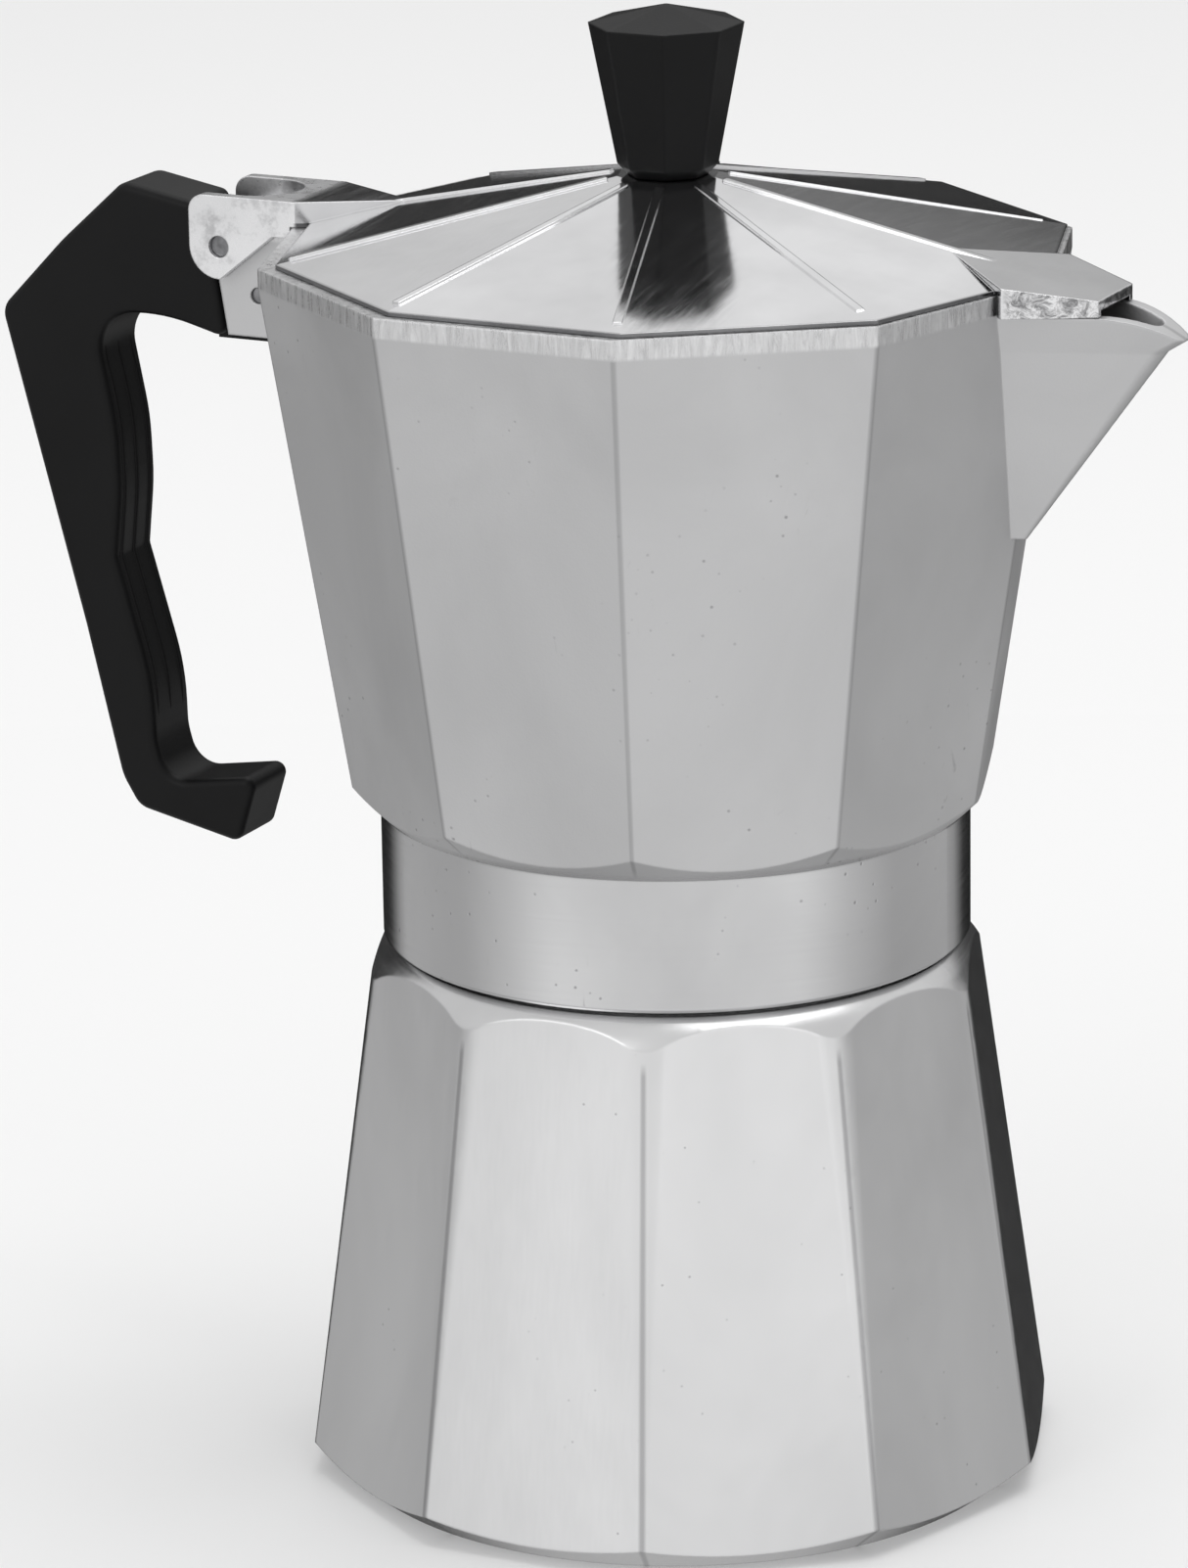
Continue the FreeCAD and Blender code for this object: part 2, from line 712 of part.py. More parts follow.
for item in valve_bodies:
    item.Placement.Rotation = FreeCAD.Rotation(FreeCAD.Vector(1, 0, 0), -90)
    item.setExpression("Placement.Base.y", "dims.boss_face_y")
    item.setExpression("Placement.Base.z", "dims.valve_z")

# ---------------------------------------------------------------- funnel

funnel_basket = new_body("funnel_basket")
turned(funnel_basket, "basket", [
    ("dims.flange_radius", "dims.neck_top"),
    ("dims.flange_radius", "dims.flange_top_z"),
    ("dims.basket_radius - dims.basket_wall", "dims.flange_top_z"),
    ("dims.basket_radius - dims.basket_wall", "dims.plate_low_z"),
    ("dims.ledge_radius", "dims.plate_low_z"),
    ("dims.ledge_radius", "dims.basket_low_z"),
    ("dims.tube_radius + dims.tube_play", "dims.basket_cone_z + dims.basket_wall"),
    ("dims.tube_radius + dims.tube_play", "dims.collar_low_z"),
    ("dims.collar_radius", "dims.collar_low_z"),
    ("dims.collar_radius", "dims.basket_cone_z"),
    ("dims.basket_radius", "dims.basket_low_z - dims.basket_wall"),
    ("dims.basket_radius", "dims.neck_top"),
])

funnel_tube = new_body("funnel_tube")
turned(funnel_tube, "tube", [
    ("dims.tube_bore", "dims.tube_low_z"),
    ("dims.tube_radius", "dims.tube_low_z"),
    ("dims.tube_radius", "dims.tube_top_z"),
    ("dims.tube_bore", "dims.tube_top_z"),
])

funnel_plate = new_body("funnel_plate")
plate_outline = circle_sketch(funnel_plate, "plate_outline", "XY_Plane", "0", "0",
                              "dims.basket_radius - dims.basket_wall - dims.plate_play",
                              "dims.plate_low_z")
extruded(funnel_plate, "plate", plate_outline, "dims.plate_thickness")
drilled_rings(funnel_plate, "plate", "dims.plate_hole", "dims.plate_low_z", "dims.plate_thickness * 3",
              ((7, 6), (14, 12), (21, 18), (28, 24)))

# ---------------------------------------------------------------- gasket and filter plate

gasket = new_body("gasket")
turned(gasket, "gasket_ring", [
    ("dims.gasket_inner", "dims.flange_top_z + dims.gasket_chamfer"),
    ("dims.gasket_inner + dims.gasket_chamfer", "dims.flange_top_z"),
    ("dims.gasket_outer - dims.gasket_chamfer", "dims.flange_top_z"),
    ("dims.gasket_outer", "dims.flange_top_z + dims.gasket_chamfer"),
    ("dims.gasket_outer", "dims.gasket_top_z"),
    ("dims.gasket_inner", "dims.gasket_top_z"),
])

filter_plate = new_body("filter_plate")
filter_outline = circle_sketch(filter_plate, "filter_outline", "XY_Plane", "0", "0", "dims.filter_radius",
                               "dims.gasket_top_z")
extruded(filter_plate, "disc", filter_outline, "dims.seat_z - dims.gasket_top_z")
drilled_rings(filter_plate, "filter", "dims.filter_hole", "dims.gasket_top_z", "dims.plate_thickness * 3",
              ((5, 6), (10, 12), (15, 18), (20, 24), (25, 30)))

# ---------------------------------------------------------------- collector

collector = new_body("collector")
rim_outline = sketch(collector, "rim_outline", "XY_Plane",
                     rounded_decagon("dims.jug_rim_radius", "dims.jug_corner"), "dims.jug_rim_low_z")
lofted(collector, "faceted_jug", [
    sketch(collector, "jug_foot_outline", "XY_Plane",
           rounded_decagon("dims.jug_low_radius", "dims.jug_corner"), "dims.jug_low_z"),
    rim_outline,
])
rim_pad_outline = sketch(collector, "rim_pad_outline", "XY_Plane",
                         rounded_decagon("dims.jug_rim_radius", "dims.jug_corner"), "dims.jug_rim_low_z")
extruded(collector, "rim_band", rim_pad_outline, "dims.jug_top_z - dims.jug_rim_low_z")
turned(collector, "conical_underside", [
    ("dims.skirt_radius", "dims.skirt_top_z"),
    ("dims.skirt_radius", "dims.jug_low_z - dims.cut_margin"),
    ("dims.skirt_radius + dims.under_cut_run", "dims.jug_low_z - dims.cut_margin"),
    ("dims.skirt_radius + dims.under_cut_run", "dims.skirt_top_z + dims.under_cut_rise"),
], cut=True)
turned(collector, "skirt", [
    ("0", "dims.skirt_low_z"),
    ("dims.skirt_radius - dims.skirt_chamfer", "dims.skirt_low_z"),
    ("dims.skirt_radius", "dims.skirt_low_z + dims.skirt_chamfer"),
    ("dims.skirt_radius", "dims.skirt_top_z + dims.thread_overlap"),
    ("0", "dims.skirt_top_z + dims.thread_overlap"),
])
lofted(collector, "spout", [
    sketch(collector, "spout_foot", "XY_Plane", mirrored_outline([
        ("dims.spout_root_x", "dims.spout_foot_root_width"),
        ("dims.spout_foot_x", "dims.spout_foot_width", "dims.spout_foot_nose"),
    ]), "dims.spout_foot_z"),
    sketch(collector, "spout_flare", "XY_Plane", mirrored_outline([
        ("dims.spout_root_x", "dims.spout_flare_root_width"),
        ("dims.spout_flare_x", "dims.spout_flare_width", "dims.spout_flare_nose"),
    ]), "dims.spout_flare_z"),
    sketch(collector, "spout_mouth", "XY_Plane", mirrored_outline([
        ("dims.spout_root_x", "dims.spout_root_width"),
        ("dims.spout_shoulder_x", "dims.spout_shoulder_width", "dims.spout_nose_radius"),
    ]), "dims.spout_top_z"),
])
lip_outline = sketch(collector, "lip_outline", "XZ_Plane", [
    ("dims.lip_start_x", "dims.spout_top_z", "-dims.lip_radius"),
    ("dims.lip_end_x", "dims.spout_top_z - dims.lip_radius + "
     "sqrt(dims.lip_radius * dims.lip_radius - (dims.lip_end_x - dims.lip_start_x) * "
     "(dims.lip_end_x - dims.lip_start_x))"),
    ("dims.lip_end_x + dims.lip_radius", "dims.spout_foot_z + dims.lip_radius"),
    ("dims.lip_end_x + dims.lip_radius", "dims.spout_top_z + dims.lip_radius"),
    ("dims.lip_start_x", "dims.spout_top_z + dims.lip_radius"),
])
pulled(collector, "curved_lip", lip_outline, "dims.clear_radius", cut=True)

lug_outline = sketch(collector, "lug_outline", "XZ_Plane", [
    ("dims.lug_root_x", "dims.lug_foot_z"),
    ("dims.lug_foot_x", "dims.lug_foot_z"),
    ("dims.lug_neck_x", "dims.hinge_z - sqrt(dims.knuckle_radius * dims.knuckle_radius - "
     "(dims.lug_neck_x - dims.hinge_x) * (dims.lug_neck_x - dims.hinge_x))", "-dims.knuckle_radius"),
    ("dims.hinge_x - dims.knuckle_radius", "dims.hinge_z", "-dims.knuckle_radius"),
    ("dims.hinge_x", "dims.hinge_z + dims.knuckle_radius"),
    ("dims.lug_root_top_x", "dims.lug_root_top_z"),
])
pulled(collector, "hinge_lug", lug_outline, "2 * dims.lug_half")
slot_outline = sketch(collector, "slot_outline", "XZ_Plane", [
    ("dims.slot_end_x", "dims.slot_top_z"),
    ("dims.hinge_x - 2 * dims.knuckle_radius", "dims.slot_top_z"),
    ("dims.hinge_x - 2 * dims.knuckle_radius", "dims.lug_foot_z - dims.cut_margin"),
    ("dims.slot_end_x", "dims.lug_foot_z - dims.cut_margin"),
])
pulled(collector, "handle_slot", slot_outline, "2 * dims.slot_half", cut=True)
lug_hinge_hole = circle_sketch(collector, "lug_hinge_hole", "XZ_Plane", "dims.hinge_x", "dims.hinge_z",
                               "dims.hinge_pin_radius + dims.hinge_play")
pulled(collector, "hinge_hole", lug_hinge_hole, "4 * dims.lug_half", cut=True)
lug_pin_hole = circle_sketch(collector, "lug_pin_hole", "XZ_Plane", "dims.handle_pin_x", "dims.handle_pin_z",
                             "dims.handle_pin_radius + dims.hinge_play")
pulled(collector, "handle_pin_hole", lug_pin_hole, "4 * dims.lug_half", cut=True)

lofted(collector, "jug_cavity", [
    sketch(collector, "cavity_floor", "XY_Plane",
           rounded_decagon("dims.jug_inner_low_radius", "dims.jug_inner_corner"), "dims.jug_floor_z"),
    sketch(collector, "cavity_top", "XY_Plane",
           rounded_decagon("dims.jug_inner_top_radius", "dims.jug_inner_corner"), "dims.jug_top_z"),
], cut=True)
trough_mouth = [
    ("dims.trough_root_x", "dims.trough_root_width"),
    ("dims.trough_end_x", "dims.trough_end_width", "dims.trough_nose"),
]
lofted(collector, "spout_trough", [
    sketch(collector, "trough_foot", "XY_Plane", mirrored_outline([
        ("dims.trough_root_x", "dims.trough_foot_root_width"),
        ("dims.trough_foot_x", "dims.trough_foot_width", "dims.trough_foot_nose"),
    ]), "dims.spout_foot_z"),
    sketch(collector, "trough_mouth", "XY_Plane", mirrored_outline(trough_mouth), "dims.spout_top_z"),
], cut=True)
rim_gap_outline = sketch(collector, "rim_gap_outline", "XY_Plane", mirrored_outline(trough_mouth),
                         "dims.spout_top_z")
extruded(collector, "rim_gap", rim_gap_outline, "dims.lip_radius", cut=True, reverse=True)
turned(collector, "skirt_bore", [
    ("0", "dims.skirt_low_z - dims.cut_margin"),
    ("dims.skirt_bore + dims.bore_chamfer", "dims.skirt_low_z - dims.cut_margin"),
    ("dims.skirt_bore + dims.bore_chamfer", "dims.skirt_low_z"),
    ("dims.skirt_bore", "dims.skirt_low_z + dims.bore_chamfer"),
    ("dims.skirt_bore", "dims.bore_top_z"),
    ("dims.seat_radius", "dims.bore_top_z"),
    ("dims.seat_radius", "dims.seat_z"),
    ("dims.plenum_radius", "dims.seat_z"),
    ("dims.plenum_radius", "dims.plenum_z"),
    ("dims.riser_spigot + dims.tube_play", "dims.plenum_peak_z"),
    ("dims.riser_spigot + dims.tube_play", "dims.jug_floor_z + dims.cut_margin"),
    ("0", "dims.jug_floor_z + dims.cut_margin"),
], cut=True)
female_thread = sketch(collector, "groove_outline", "XZ_Plane", [
    ("dims.skirt_bore - 2 * dims.thread_overlap", "dims.groove_start_z"),
    ("dims.groove_root", "dims.groove_start_z + (dims.groove_mouth_width - dims.groove_root_width) / 2"),
    ("dims.groove_root", "dims.groove_start_z + (dims.groove_mouth_width + dims.groove_root_width) / 2"),
    ("dims.skirt_bore - 2 * dims.thread_overlap", "dims.groove_start_z + dims.groove_mouth_width"),
])
helix(collector, "thread_groove", female_thread, "dims.thread_pitch", "dims.groove_height", cut=True)

# ---------------------------------------------------------------- riser

riser_column = new_body("riser_column")
turned(riser_column, "column", [
    ("dims.riser_bore", "dims.riser_spigot_low_z"),
    ("dims.riser_spigot", "dims.riser_spigot_low_z"),
    ("dims.riser_spigot", "dims.jug_floor_z"),
    ("dims.riser_flange", "dims.jug_floor_z"),
    ("dims.riser_flange", "dims.riser_flange_top_z"),
    ("dims.riser_low_radius", "dims.riser_flange_top_z"),
    ("dims.riser_high_radius", "dims.riser_shoulder_z"),
    ("dims.riser_top_radius", "dims.riser_shoulder_z"),
    ("dims.riser_top_radius", "dims.riser_top_z"),
    ("dims.riser_bore", "dims.riser_top_z"),
])

riser_cap = new_body("riser_cap")
turned(riser_cap, "cap", [
    ("dims.riser_top_radius + dims.tube_play", "dims.riser_shoulder_z"),
    ("dims.riser_high_radius", "dims.riser_shoulder_z"),
    ("dims.riser_high_radius", "dims.cap_roof_z"),
    ("dims.riser_bore", "dims.cap_top_z"),
    ("0", "dims.cap_top_z"),
    ("0", "dims.cap_roof_z"),
    ("dims.riser_top_radius + dims.tube_play", "dims.cap_roof_z"),
])
window = sketch(riser_cap, "window_outline", "XZ_Plane", [
    ("-dims.cap_window_half", "dims.cap_window_low_z"),
    ("dims.cap_window_half", "dims.cap_window_low_z"),
    ("dims.cap_window_half", "dims.cap_window_high_z"),
    ("-dims.cap_window_half", "dims.cap_window_high_z"),
])
pulled(riser_cap, "windows", window, "4 * dims.riser_high_radius", cut=True)

# ---------------------------------------------------------------- lid

lid = new_body("lid")
lid_outline = rounded_decagon("dims.lid_radius", "dims.jug_corner")
lid_edge = sketch(lid, "lid_edge_outline", "XY_Plane", lid_outline, "dims.lid_low_z", "dims.lid_shift")
extruded(lid, "lid_edge", lid_edge, "dims.lid_edge_z - dims.lid_low_z")
lofted(lid, "lid_dome", [
    sketch(lid, "lid_dome_foot", "XY_Plane", lid_outline, "dims.lid_edge_z", "dims.lid_shift"),
    sketch(lid, "lid_dome_top", "XY_Plane", rounded_decagon("dims.lid_top_radius", "dims.jug_corner"),
           "dims.lid_top_z"),
])
LID_SLOPE = "(dims.lid_top_z - dims.lid_edge_z) / (dims.lid_radius - dims.lid_top_radius)"
RIDGE_INNER_Z = f"(dims.lid_edge_z + (dims.lid_radius - dims.bead_inner) * {LID_SLOPE})"
RIDGE_OUTER_Z = f"(dims.lid_edge_z + (dims.lid_radius - dims.bead_outer) * {LID_SLOPE})"
bead_outline = sketch(lid, "bead_outline", "XZ_Plane", [
    ("dims.bead_inner", f"{RIDGE_INNER_Z} - dims.bead_depth"),
    ("dims.bead_outer", f"{RIDGE_OUTER_Z} - dims.bead_depth"),
    ("dims.bead_outer", f"{RIDGE_OUTER_Z} + dims.bead_height"),
    ("dims.bead_inner", f"{RIDGE_INNER_Z} + dims.bead_height"),
])
bead = pulled(lid, "bead", bead_outline, "dims.bead_width")
repeated(lid, "ridge_beads", bead, 10)

TAB_SLOPE = "(dims.tab_high_z - dims.tab_end_z) / (dims.tab_end_x - dims.tab_point_x)"


def tab_section(name, x, half, top, foot):
    """A rectangle across the spout tab at the distance x from the centre."""
    return sketch(lid, name, "YZ_Plane", [
        (f"-({half})", foot),
        (half, foot),
        (half, top),
        (f"-({half})", top),
    ], x)


def tab_top(x):
    """The height of the tab's sloping top at the distance x from the centre."""
    return f"(dims.tab_high_z - ({x} - dims.tab_point_x) * {TAB_SLOPE})"


lofted(lid, "spout_tab", [
    tab_section("tab_point", "dims.tab_point_x", "dims.tab_tip_half", tab_top("dims.tab_point_x"),
                "dims.tab_foot_z"),
    tab_section("tab_shoulder", "dims.tab_wide_x", "dims.tab_wide_half", tab_top("dims.tab_wide_x"),
                "dims.tab_foot_z"),
    tab_section("tab_end", "dims.tab_end_x", "dims.tab_end_half", tab_top("dims.tab_end_x"),
                "dims.tab_foot_z"),
])

housing_plan = sketch(lid, "housing_plan", "XY_Plane", [
    ("dims.housing_point_x", "0"),
    ("dims.housing_shoulder_x", "dims.housing_half"),
    ("dims.ear_end_x", "dims.housing_half"),
    ("dims.ear_end_x", "-dims.housing_half"),
    ("dims.housing_shoulder_x", "-dims.housing_half"),
], "dims.housing_top_z")
extruded(lid, "housing_block", housing_plan, "dims.housing_top_z - dims.ear_low_z", reverse=True)
ear_side_cut = sketch(lid, "ear_side_cut", "XZ_Plane", [
    ("dims.ear_end_x - dims.ear_margin", "dims.hinge_z"),
    ("dims.ear_end_x", "dims.hinge_z", "dims.ear_radius"),
    ("dims.hinge_x", "dims.hinge_z - dims.ear_radius"),
    ("dims.ear_back_x", "dims.ear_back_z"),
    ("dims.housing_point_x + dims.ear_margin", "dims.ear_back_z"),
    ("dims.housing_point_x + dims.ear_margin", "dims.ear_low_z - dims.ear_margin"),
    ("dims.ear_end_x - dims.ear_margin", "dims.ear_low_z - dims.ear_margin"),
])
pulled(lid, "ear_shape", ear_side_cut, "4 * dims.housing_half", cut=True)
corner_cut = sketch(lid, "corner_cut", "XZ_Plane", [
    ("dims.ear_end_x", "dims.housing_top_z - dims.housing_corner", "-dims.housing_corner"),
    ("dims.ear_end_x + dims.housing_corner", "dims.housing_top_z"),
    ("dims.ear_end_x - dims.ear_margin", "dims.housing_top_z + dims.ear_margin"),
])
pulled(lid, "housing_corner_round", corner_cut, "4 * dims.housing_half", cut=True)
ear_hole_outline = circle_sketch(lid, "ear_hole_outline", "XZ_Plane", "dims.hinge_x", "dims.hinge_z",
                                 "dims.hinge_pin_radius + dims.hinge_play")
pulled(lid, "ear_hole", ear_hole_outline, "4 * dims.housing_half", cut=True)
notch_plan = sketch(lid, "notch_plan", "XY_Plane", [
    ("dims.ear_end_x - dims.ear_margin", "-dims.ear_gap_half"),
    ("dims.notch_end_x - dims.ear_gap_half", "-dims.ear_gap_half", "dims.ear_gap_half + dims.arc_slack"),
    ("dims.notch_end_x", "0", "dims.ear_gap_half + dims.arc_slack"),
    ("dims.notch_end_x - dims.ear_gap_half", "dims.ear_gap_half"),
    ("dims.ear_end_x - dims.ear_margin", "dims.ear_gap_half"),
], "dims.housing_top_z + dims.cut_margin")
extruded(lid, "notch", notch_plan, "dims.clear_radius", cut=True)
lug_room = sketch(lid, "lug_room", "XY_Plane", [
    ("dims.ear_end_x - dims.ear_margin", "-dims.ear_gap_half"),
    ("dims.lug_root_top_x", "-dims.ear_gap_half"),
    ("dims.lug_root_top_x", "dims.ear_gap_half"),
    ("dims.ear_end_x - dims.ear_margin", "dims.ear_gap_half"),
], "dims.lid_low_z")
extruded(lid, "lug_clearance", lug_room, "dims.clear_radius", cut=True)

lofted(lid, "lid_hollow", [
    sketch(lid, "hollow_foot", "XY_Plane", rounded_decagon("dims.lid_inner_radius", "dims.jug_inner_corner"),
           "dims.lid_low_z"),
    sketch(lid, "hollow_top", "XY_Plane", rounded_decagon("dims.lid_top_radius", "dims.jug_corner"),
           "dims.lid_inner_top_z"),
], cut=True)
lofted(lid, "tab_hollow", [
    tab_section("tab_hollow_start", "dims.tab_point_x + dims.tab_hollow_start",
                "dims.tab_hollow_start * dims.tab_wide_half / (dims.tab_wide_x - dims.tab_point_x)"
                " - dims.tab_wall",
                tab_top("(dims.tab_point_x + dims.tab_hollow_start)") + " - dims.tab_wall", "dims.ear_low_z"),
    tab_section("tab_hollow_middle", "dims.tab_wide_x", "dims.tab_wide_half - dims.tab_wall",
                tab_top("dims.tab_wide_x") + " - dims.tab_wall", "dims.ear_low_z"),
    tab_section("tab_hollow_end", "dims.tab_end_x + dims.cut_margin", "dims.tab_end_half - dims.tab_wall",
                tab_top("(dims.tab_end_x + dims.cut_margin)") + " - dims.tab_wall", "dims.ear_low_z"),
], cut=True)
rim_room = sketch(lid, "rim_room", "XY_Plane",
                  rounded_decagon("(dims.jug_rim_radius + dims.rim_play)", "dims.jug_corner"),
                  "dims.lid_low_z")
extruded(lid, "rim_clearance", rim_room, "dims.clear_radius", cut=True)
screw_hole_outline = circle_sketch(lid, "screw_hole_outline", "XY_Plane", "0", "0", "dims.lid_screw_hole",
                                   "dims.lid_top_z + dims.cut_margin")
extruded(lid, "screw_hole", screw_hole_outline, "dims.clear_radius", cut=True)

# ---------------------------------------------------------------- hinge pin and handle pin

hinge_pin = new_body("hinge_pin")
hinge_pin_outline = circle_sketch(hinge_pin, "hinge_pin_outline", "XZ_Plane", "dims.hinge_x", "dims.hinge_z",
                                  "dims.hinge_pin_radius")
pulled(hinge_pin, "pin", hinge_pin_outline, "2 * dims.hinge_pin_half")

handle_pin = new_body("handle_pin")
handle_pin_outline = circle_sketch(handle_pin, "handle_pin_outline", "XZ_Plane", "dims.handle_pin_x",
                                   "dims.handle_pin_z", "dims.handle_pin_radius")
pulled(handle_pin, "rivet", handle_pin_outline, "2 * dims.handle_pin_half")

# ---------------------------------------------------------------- handle

handle = new_body("handle")
handle_outline = rounded_sketch(handle, "handle_outline", "XZ_Plane", [
    (f"dims.handle_x{number}", f"dims.handle_z{number}", f"dims.handle_corner{number}")
    for number in range(1, len(HANDLE_OUTLINE) + 1)
])
grip = pulled(handle, "grip", handle_outline, "2 * dims.handle_half")
doc.recompute()
side_edges = []
for number, edge in enumerate(grip.Shape.Edges, start=1):
    depths = [vertex.Point.y for vertex in edge.Vertexes]
    on_side_face = min(abs(depth) for depth in depths) > cell("dims.handle_half") - cell("dims.arc_slack")
    if on_side_face and depths[0] * depths[-1] > 0:
        side_edges.append(f"Edge{number}")
grip_rounding = handle.newObject("PartDesign::Fillet", "grip_rounding")
grip_rounding.Base = (grip, side_edges)
grip_rounding.setExpression("Radius", "dims.handle_round")
cup_outline = circle_sketch(handle, "cup_outline", "XZ_Plane", "dims.hinge_x", "dims.hinge_z",
                            "dims.handle_cup_radius")
pulled(handle, "knuckle_cup", cup_outline, "4 * dims.handle_half", cut=True)
tenon_outline = sketch(handle, "tenon_outline", "XZ_Plane", [
    ("dims.handle_neck_x - dims.handle_round", "dims.tenon_low_z"),
    ("dims.slot_end_x - dims.tenon_play", "dims.tenon_low_z"),
    ("dims.slot_end_x - dims.tenon_play", "dims.slot_top_z - dims.tenon_play"),
    ("dims.handle_neck_x - dims.handle_round", "dims.slot_top_z - dims.tenon_play"),
])
pulled(handle, "tenon", tenon_outline, "2 * dims.tenon_half")
tenon_hole_outline = circle_sketch(handle, "tenon_hole_outline", "XZ_Plane", "dims.handle_pin_x",
                                   "dims.handle_pin_z", "dims.handle_pin_radius + dims.hinge_play")
pulled(handle, "tenon_hole", tenon_hole_outline, "4 * dims.tenon_half", cut=True)

# ---------------------------------------------------------------- knob and its fixing

knob = new_body("knob")
knob_sections = []
for level in ("low", "waist", "rim", "peak"):
    outline = rounded_polygon(f"dims.knob_{level}_radius", f"(dims.knob_{level}_radius * dims.knob_rounding)",
                              8)
    knob_sections.append(sketch(knob, f"knob_{level}", "XY_Plane", outline, f"dims.knob_{level}_z"))
lofted(knob, "knob_grip", knob_sections)
knob_hole_outline = circle_sketch(knob, "knob_hole_outline", "XY_Plane", "0", "0",
                                  "dims.insert_radius + dims.tube_play", "dims.knob_low_z")
extruded(knob, "knob_hole", knob_hole_outline, "dims.insert_length + dims.plate_play", cut=True, reverse=True)

knob_insert = new_body("knob_insert")
turned(knob_insert, "insert", [
    ("dims.screw_radius + dims.tube_play", "dims.knob_low_z"),
    ("dims.insert_radius", "dims.knob_low_z"),
    ("dims.insert_radius", "dims.knob_low_z + dims.insert_length"),
    ("dims.screw_radius + dims.tube_play", "dims.knob_low_z + dims.insert_length"),
])

knob_washer = new_body("knob_washer")
turned(knob_washer, "washer", [
    ("dims.lid_screw_hole", "dims.lid_inner_top_z - dims.washer_thickness"),
    ("dims.washer_radius", "dims.lid_inner_top_z - dims.washer_thickness"),
    ("dims.washer_radius", "dims.lid_inner_top_z"),
    ("dims.lid_screw_hole", "dims.lid_inner_top_z"),
])

knob_screw = new_body("knob_screw")
HEAD_TOP = "(dims.lid_inner_top_z - dims.washer_thickness)"
turned(knob_screw, "screw", [
    ("0", f"{HEAD_TOP} - dims.screw_head_height"),
    ("dims.screw_head_radius - dims.screw_slot_depth", f"{HEAD_TOP} - dims.screw_head_height"),
    ("dims.screw_head_radius", f"{HEAD_TOP} - dims.screw_head_height + dims.screw_slot_depth"),
    ("dims.screw_head_radius", HEAD_TOP),
    ("dims.screw_radius", HEAD_TOP),
    ("dims.screw_radius", f"{HEAD_TOP} + dims.screw_length"),
    ("0", f"{HEAD_TOP} + dims.screw_length"),
])
screw_slot = sketch(knob_screw, "screw_slot_outline", "XZ_Plane", [
    ("-dims.screw_slot_half", f"{HEAD_TOP} - dims.screw_head_height - dims.cut_margin"),
    ("dims.screw_slot_half", f"{HEAD_TOP} - dims.screw_head_height - dims.cut_margin"),
    ("dims.screw_slot_half", f"{HEAD_TOP} - dims.screw_head_height + dims.screw_slot_depth"),
    ("-dims.screw_slot_half", f"{HEAD_TOP} - dims.screw_head_height + dims.screw_slot_depth"),
])
pulled(knob_screw, "screw_slot", screw_slot, "4 * dims.screw_head_radius", cut=True)

# ---------------------------------------------------------------- check and write

doc.recompute()
for item in doc.Objects:
    if "Invalid" in item.State or "Error" in item.State:
        raise RuntimeError(f"{item.Name}: {item.State}")
for node in nodes:
    if node.Shape.isNull() or not node.Shape.isValid() or len(node.Shape.Solids) != 1:
        raise RuntimeError(f"{node.Label}: no single valid solid")

os.makedirs("parts", exist_ok=True)
for node in nodes:
    node.Shape.exportStep(f"parts/{node.Label}.step")
    box = node.Shape.BoundBox
    print(f"{node.Label:16s} x {box.XMin:8.2f} {box.XMax:8.2f}  y {box.YMin:8.2f} {box.YMax:8.2f}  "
          f"z {box.ZMin:8.2f} {box.ZMax:8.2f}  volume {node.Shape.Volume:10.1f}")
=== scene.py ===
import json
import math

import bpy
from mathutils import Matrix, Vector


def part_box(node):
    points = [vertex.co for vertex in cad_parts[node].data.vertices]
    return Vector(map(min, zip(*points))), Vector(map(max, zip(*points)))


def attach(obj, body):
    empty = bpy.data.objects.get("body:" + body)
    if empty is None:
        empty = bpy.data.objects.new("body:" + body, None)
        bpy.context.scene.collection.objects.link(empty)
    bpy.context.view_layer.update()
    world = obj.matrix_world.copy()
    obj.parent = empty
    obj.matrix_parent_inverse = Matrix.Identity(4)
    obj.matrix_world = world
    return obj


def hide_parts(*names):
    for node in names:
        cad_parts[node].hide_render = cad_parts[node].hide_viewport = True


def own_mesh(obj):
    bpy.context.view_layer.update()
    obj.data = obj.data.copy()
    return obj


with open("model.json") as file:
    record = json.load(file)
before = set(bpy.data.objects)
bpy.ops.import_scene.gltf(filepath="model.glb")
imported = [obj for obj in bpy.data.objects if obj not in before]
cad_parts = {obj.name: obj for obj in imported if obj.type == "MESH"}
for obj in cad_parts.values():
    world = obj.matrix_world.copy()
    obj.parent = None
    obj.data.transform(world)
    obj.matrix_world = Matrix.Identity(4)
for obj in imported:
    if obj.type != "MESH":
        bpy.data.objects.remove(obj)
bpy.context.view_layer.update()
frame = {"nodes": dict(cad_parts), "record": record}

MM = 0.001
FACETS = 10
BOILER_TURN = 1.2  # degrees
COLLECTOR_RADIUS = 0.055
BOILER_RADIUS = 0.052
nodes = frame["nodes"]


# ---------------------------------------------------------------- node helpers

SOLID_SHARE = 0.3  # of a facet edge's line, the share at full strength


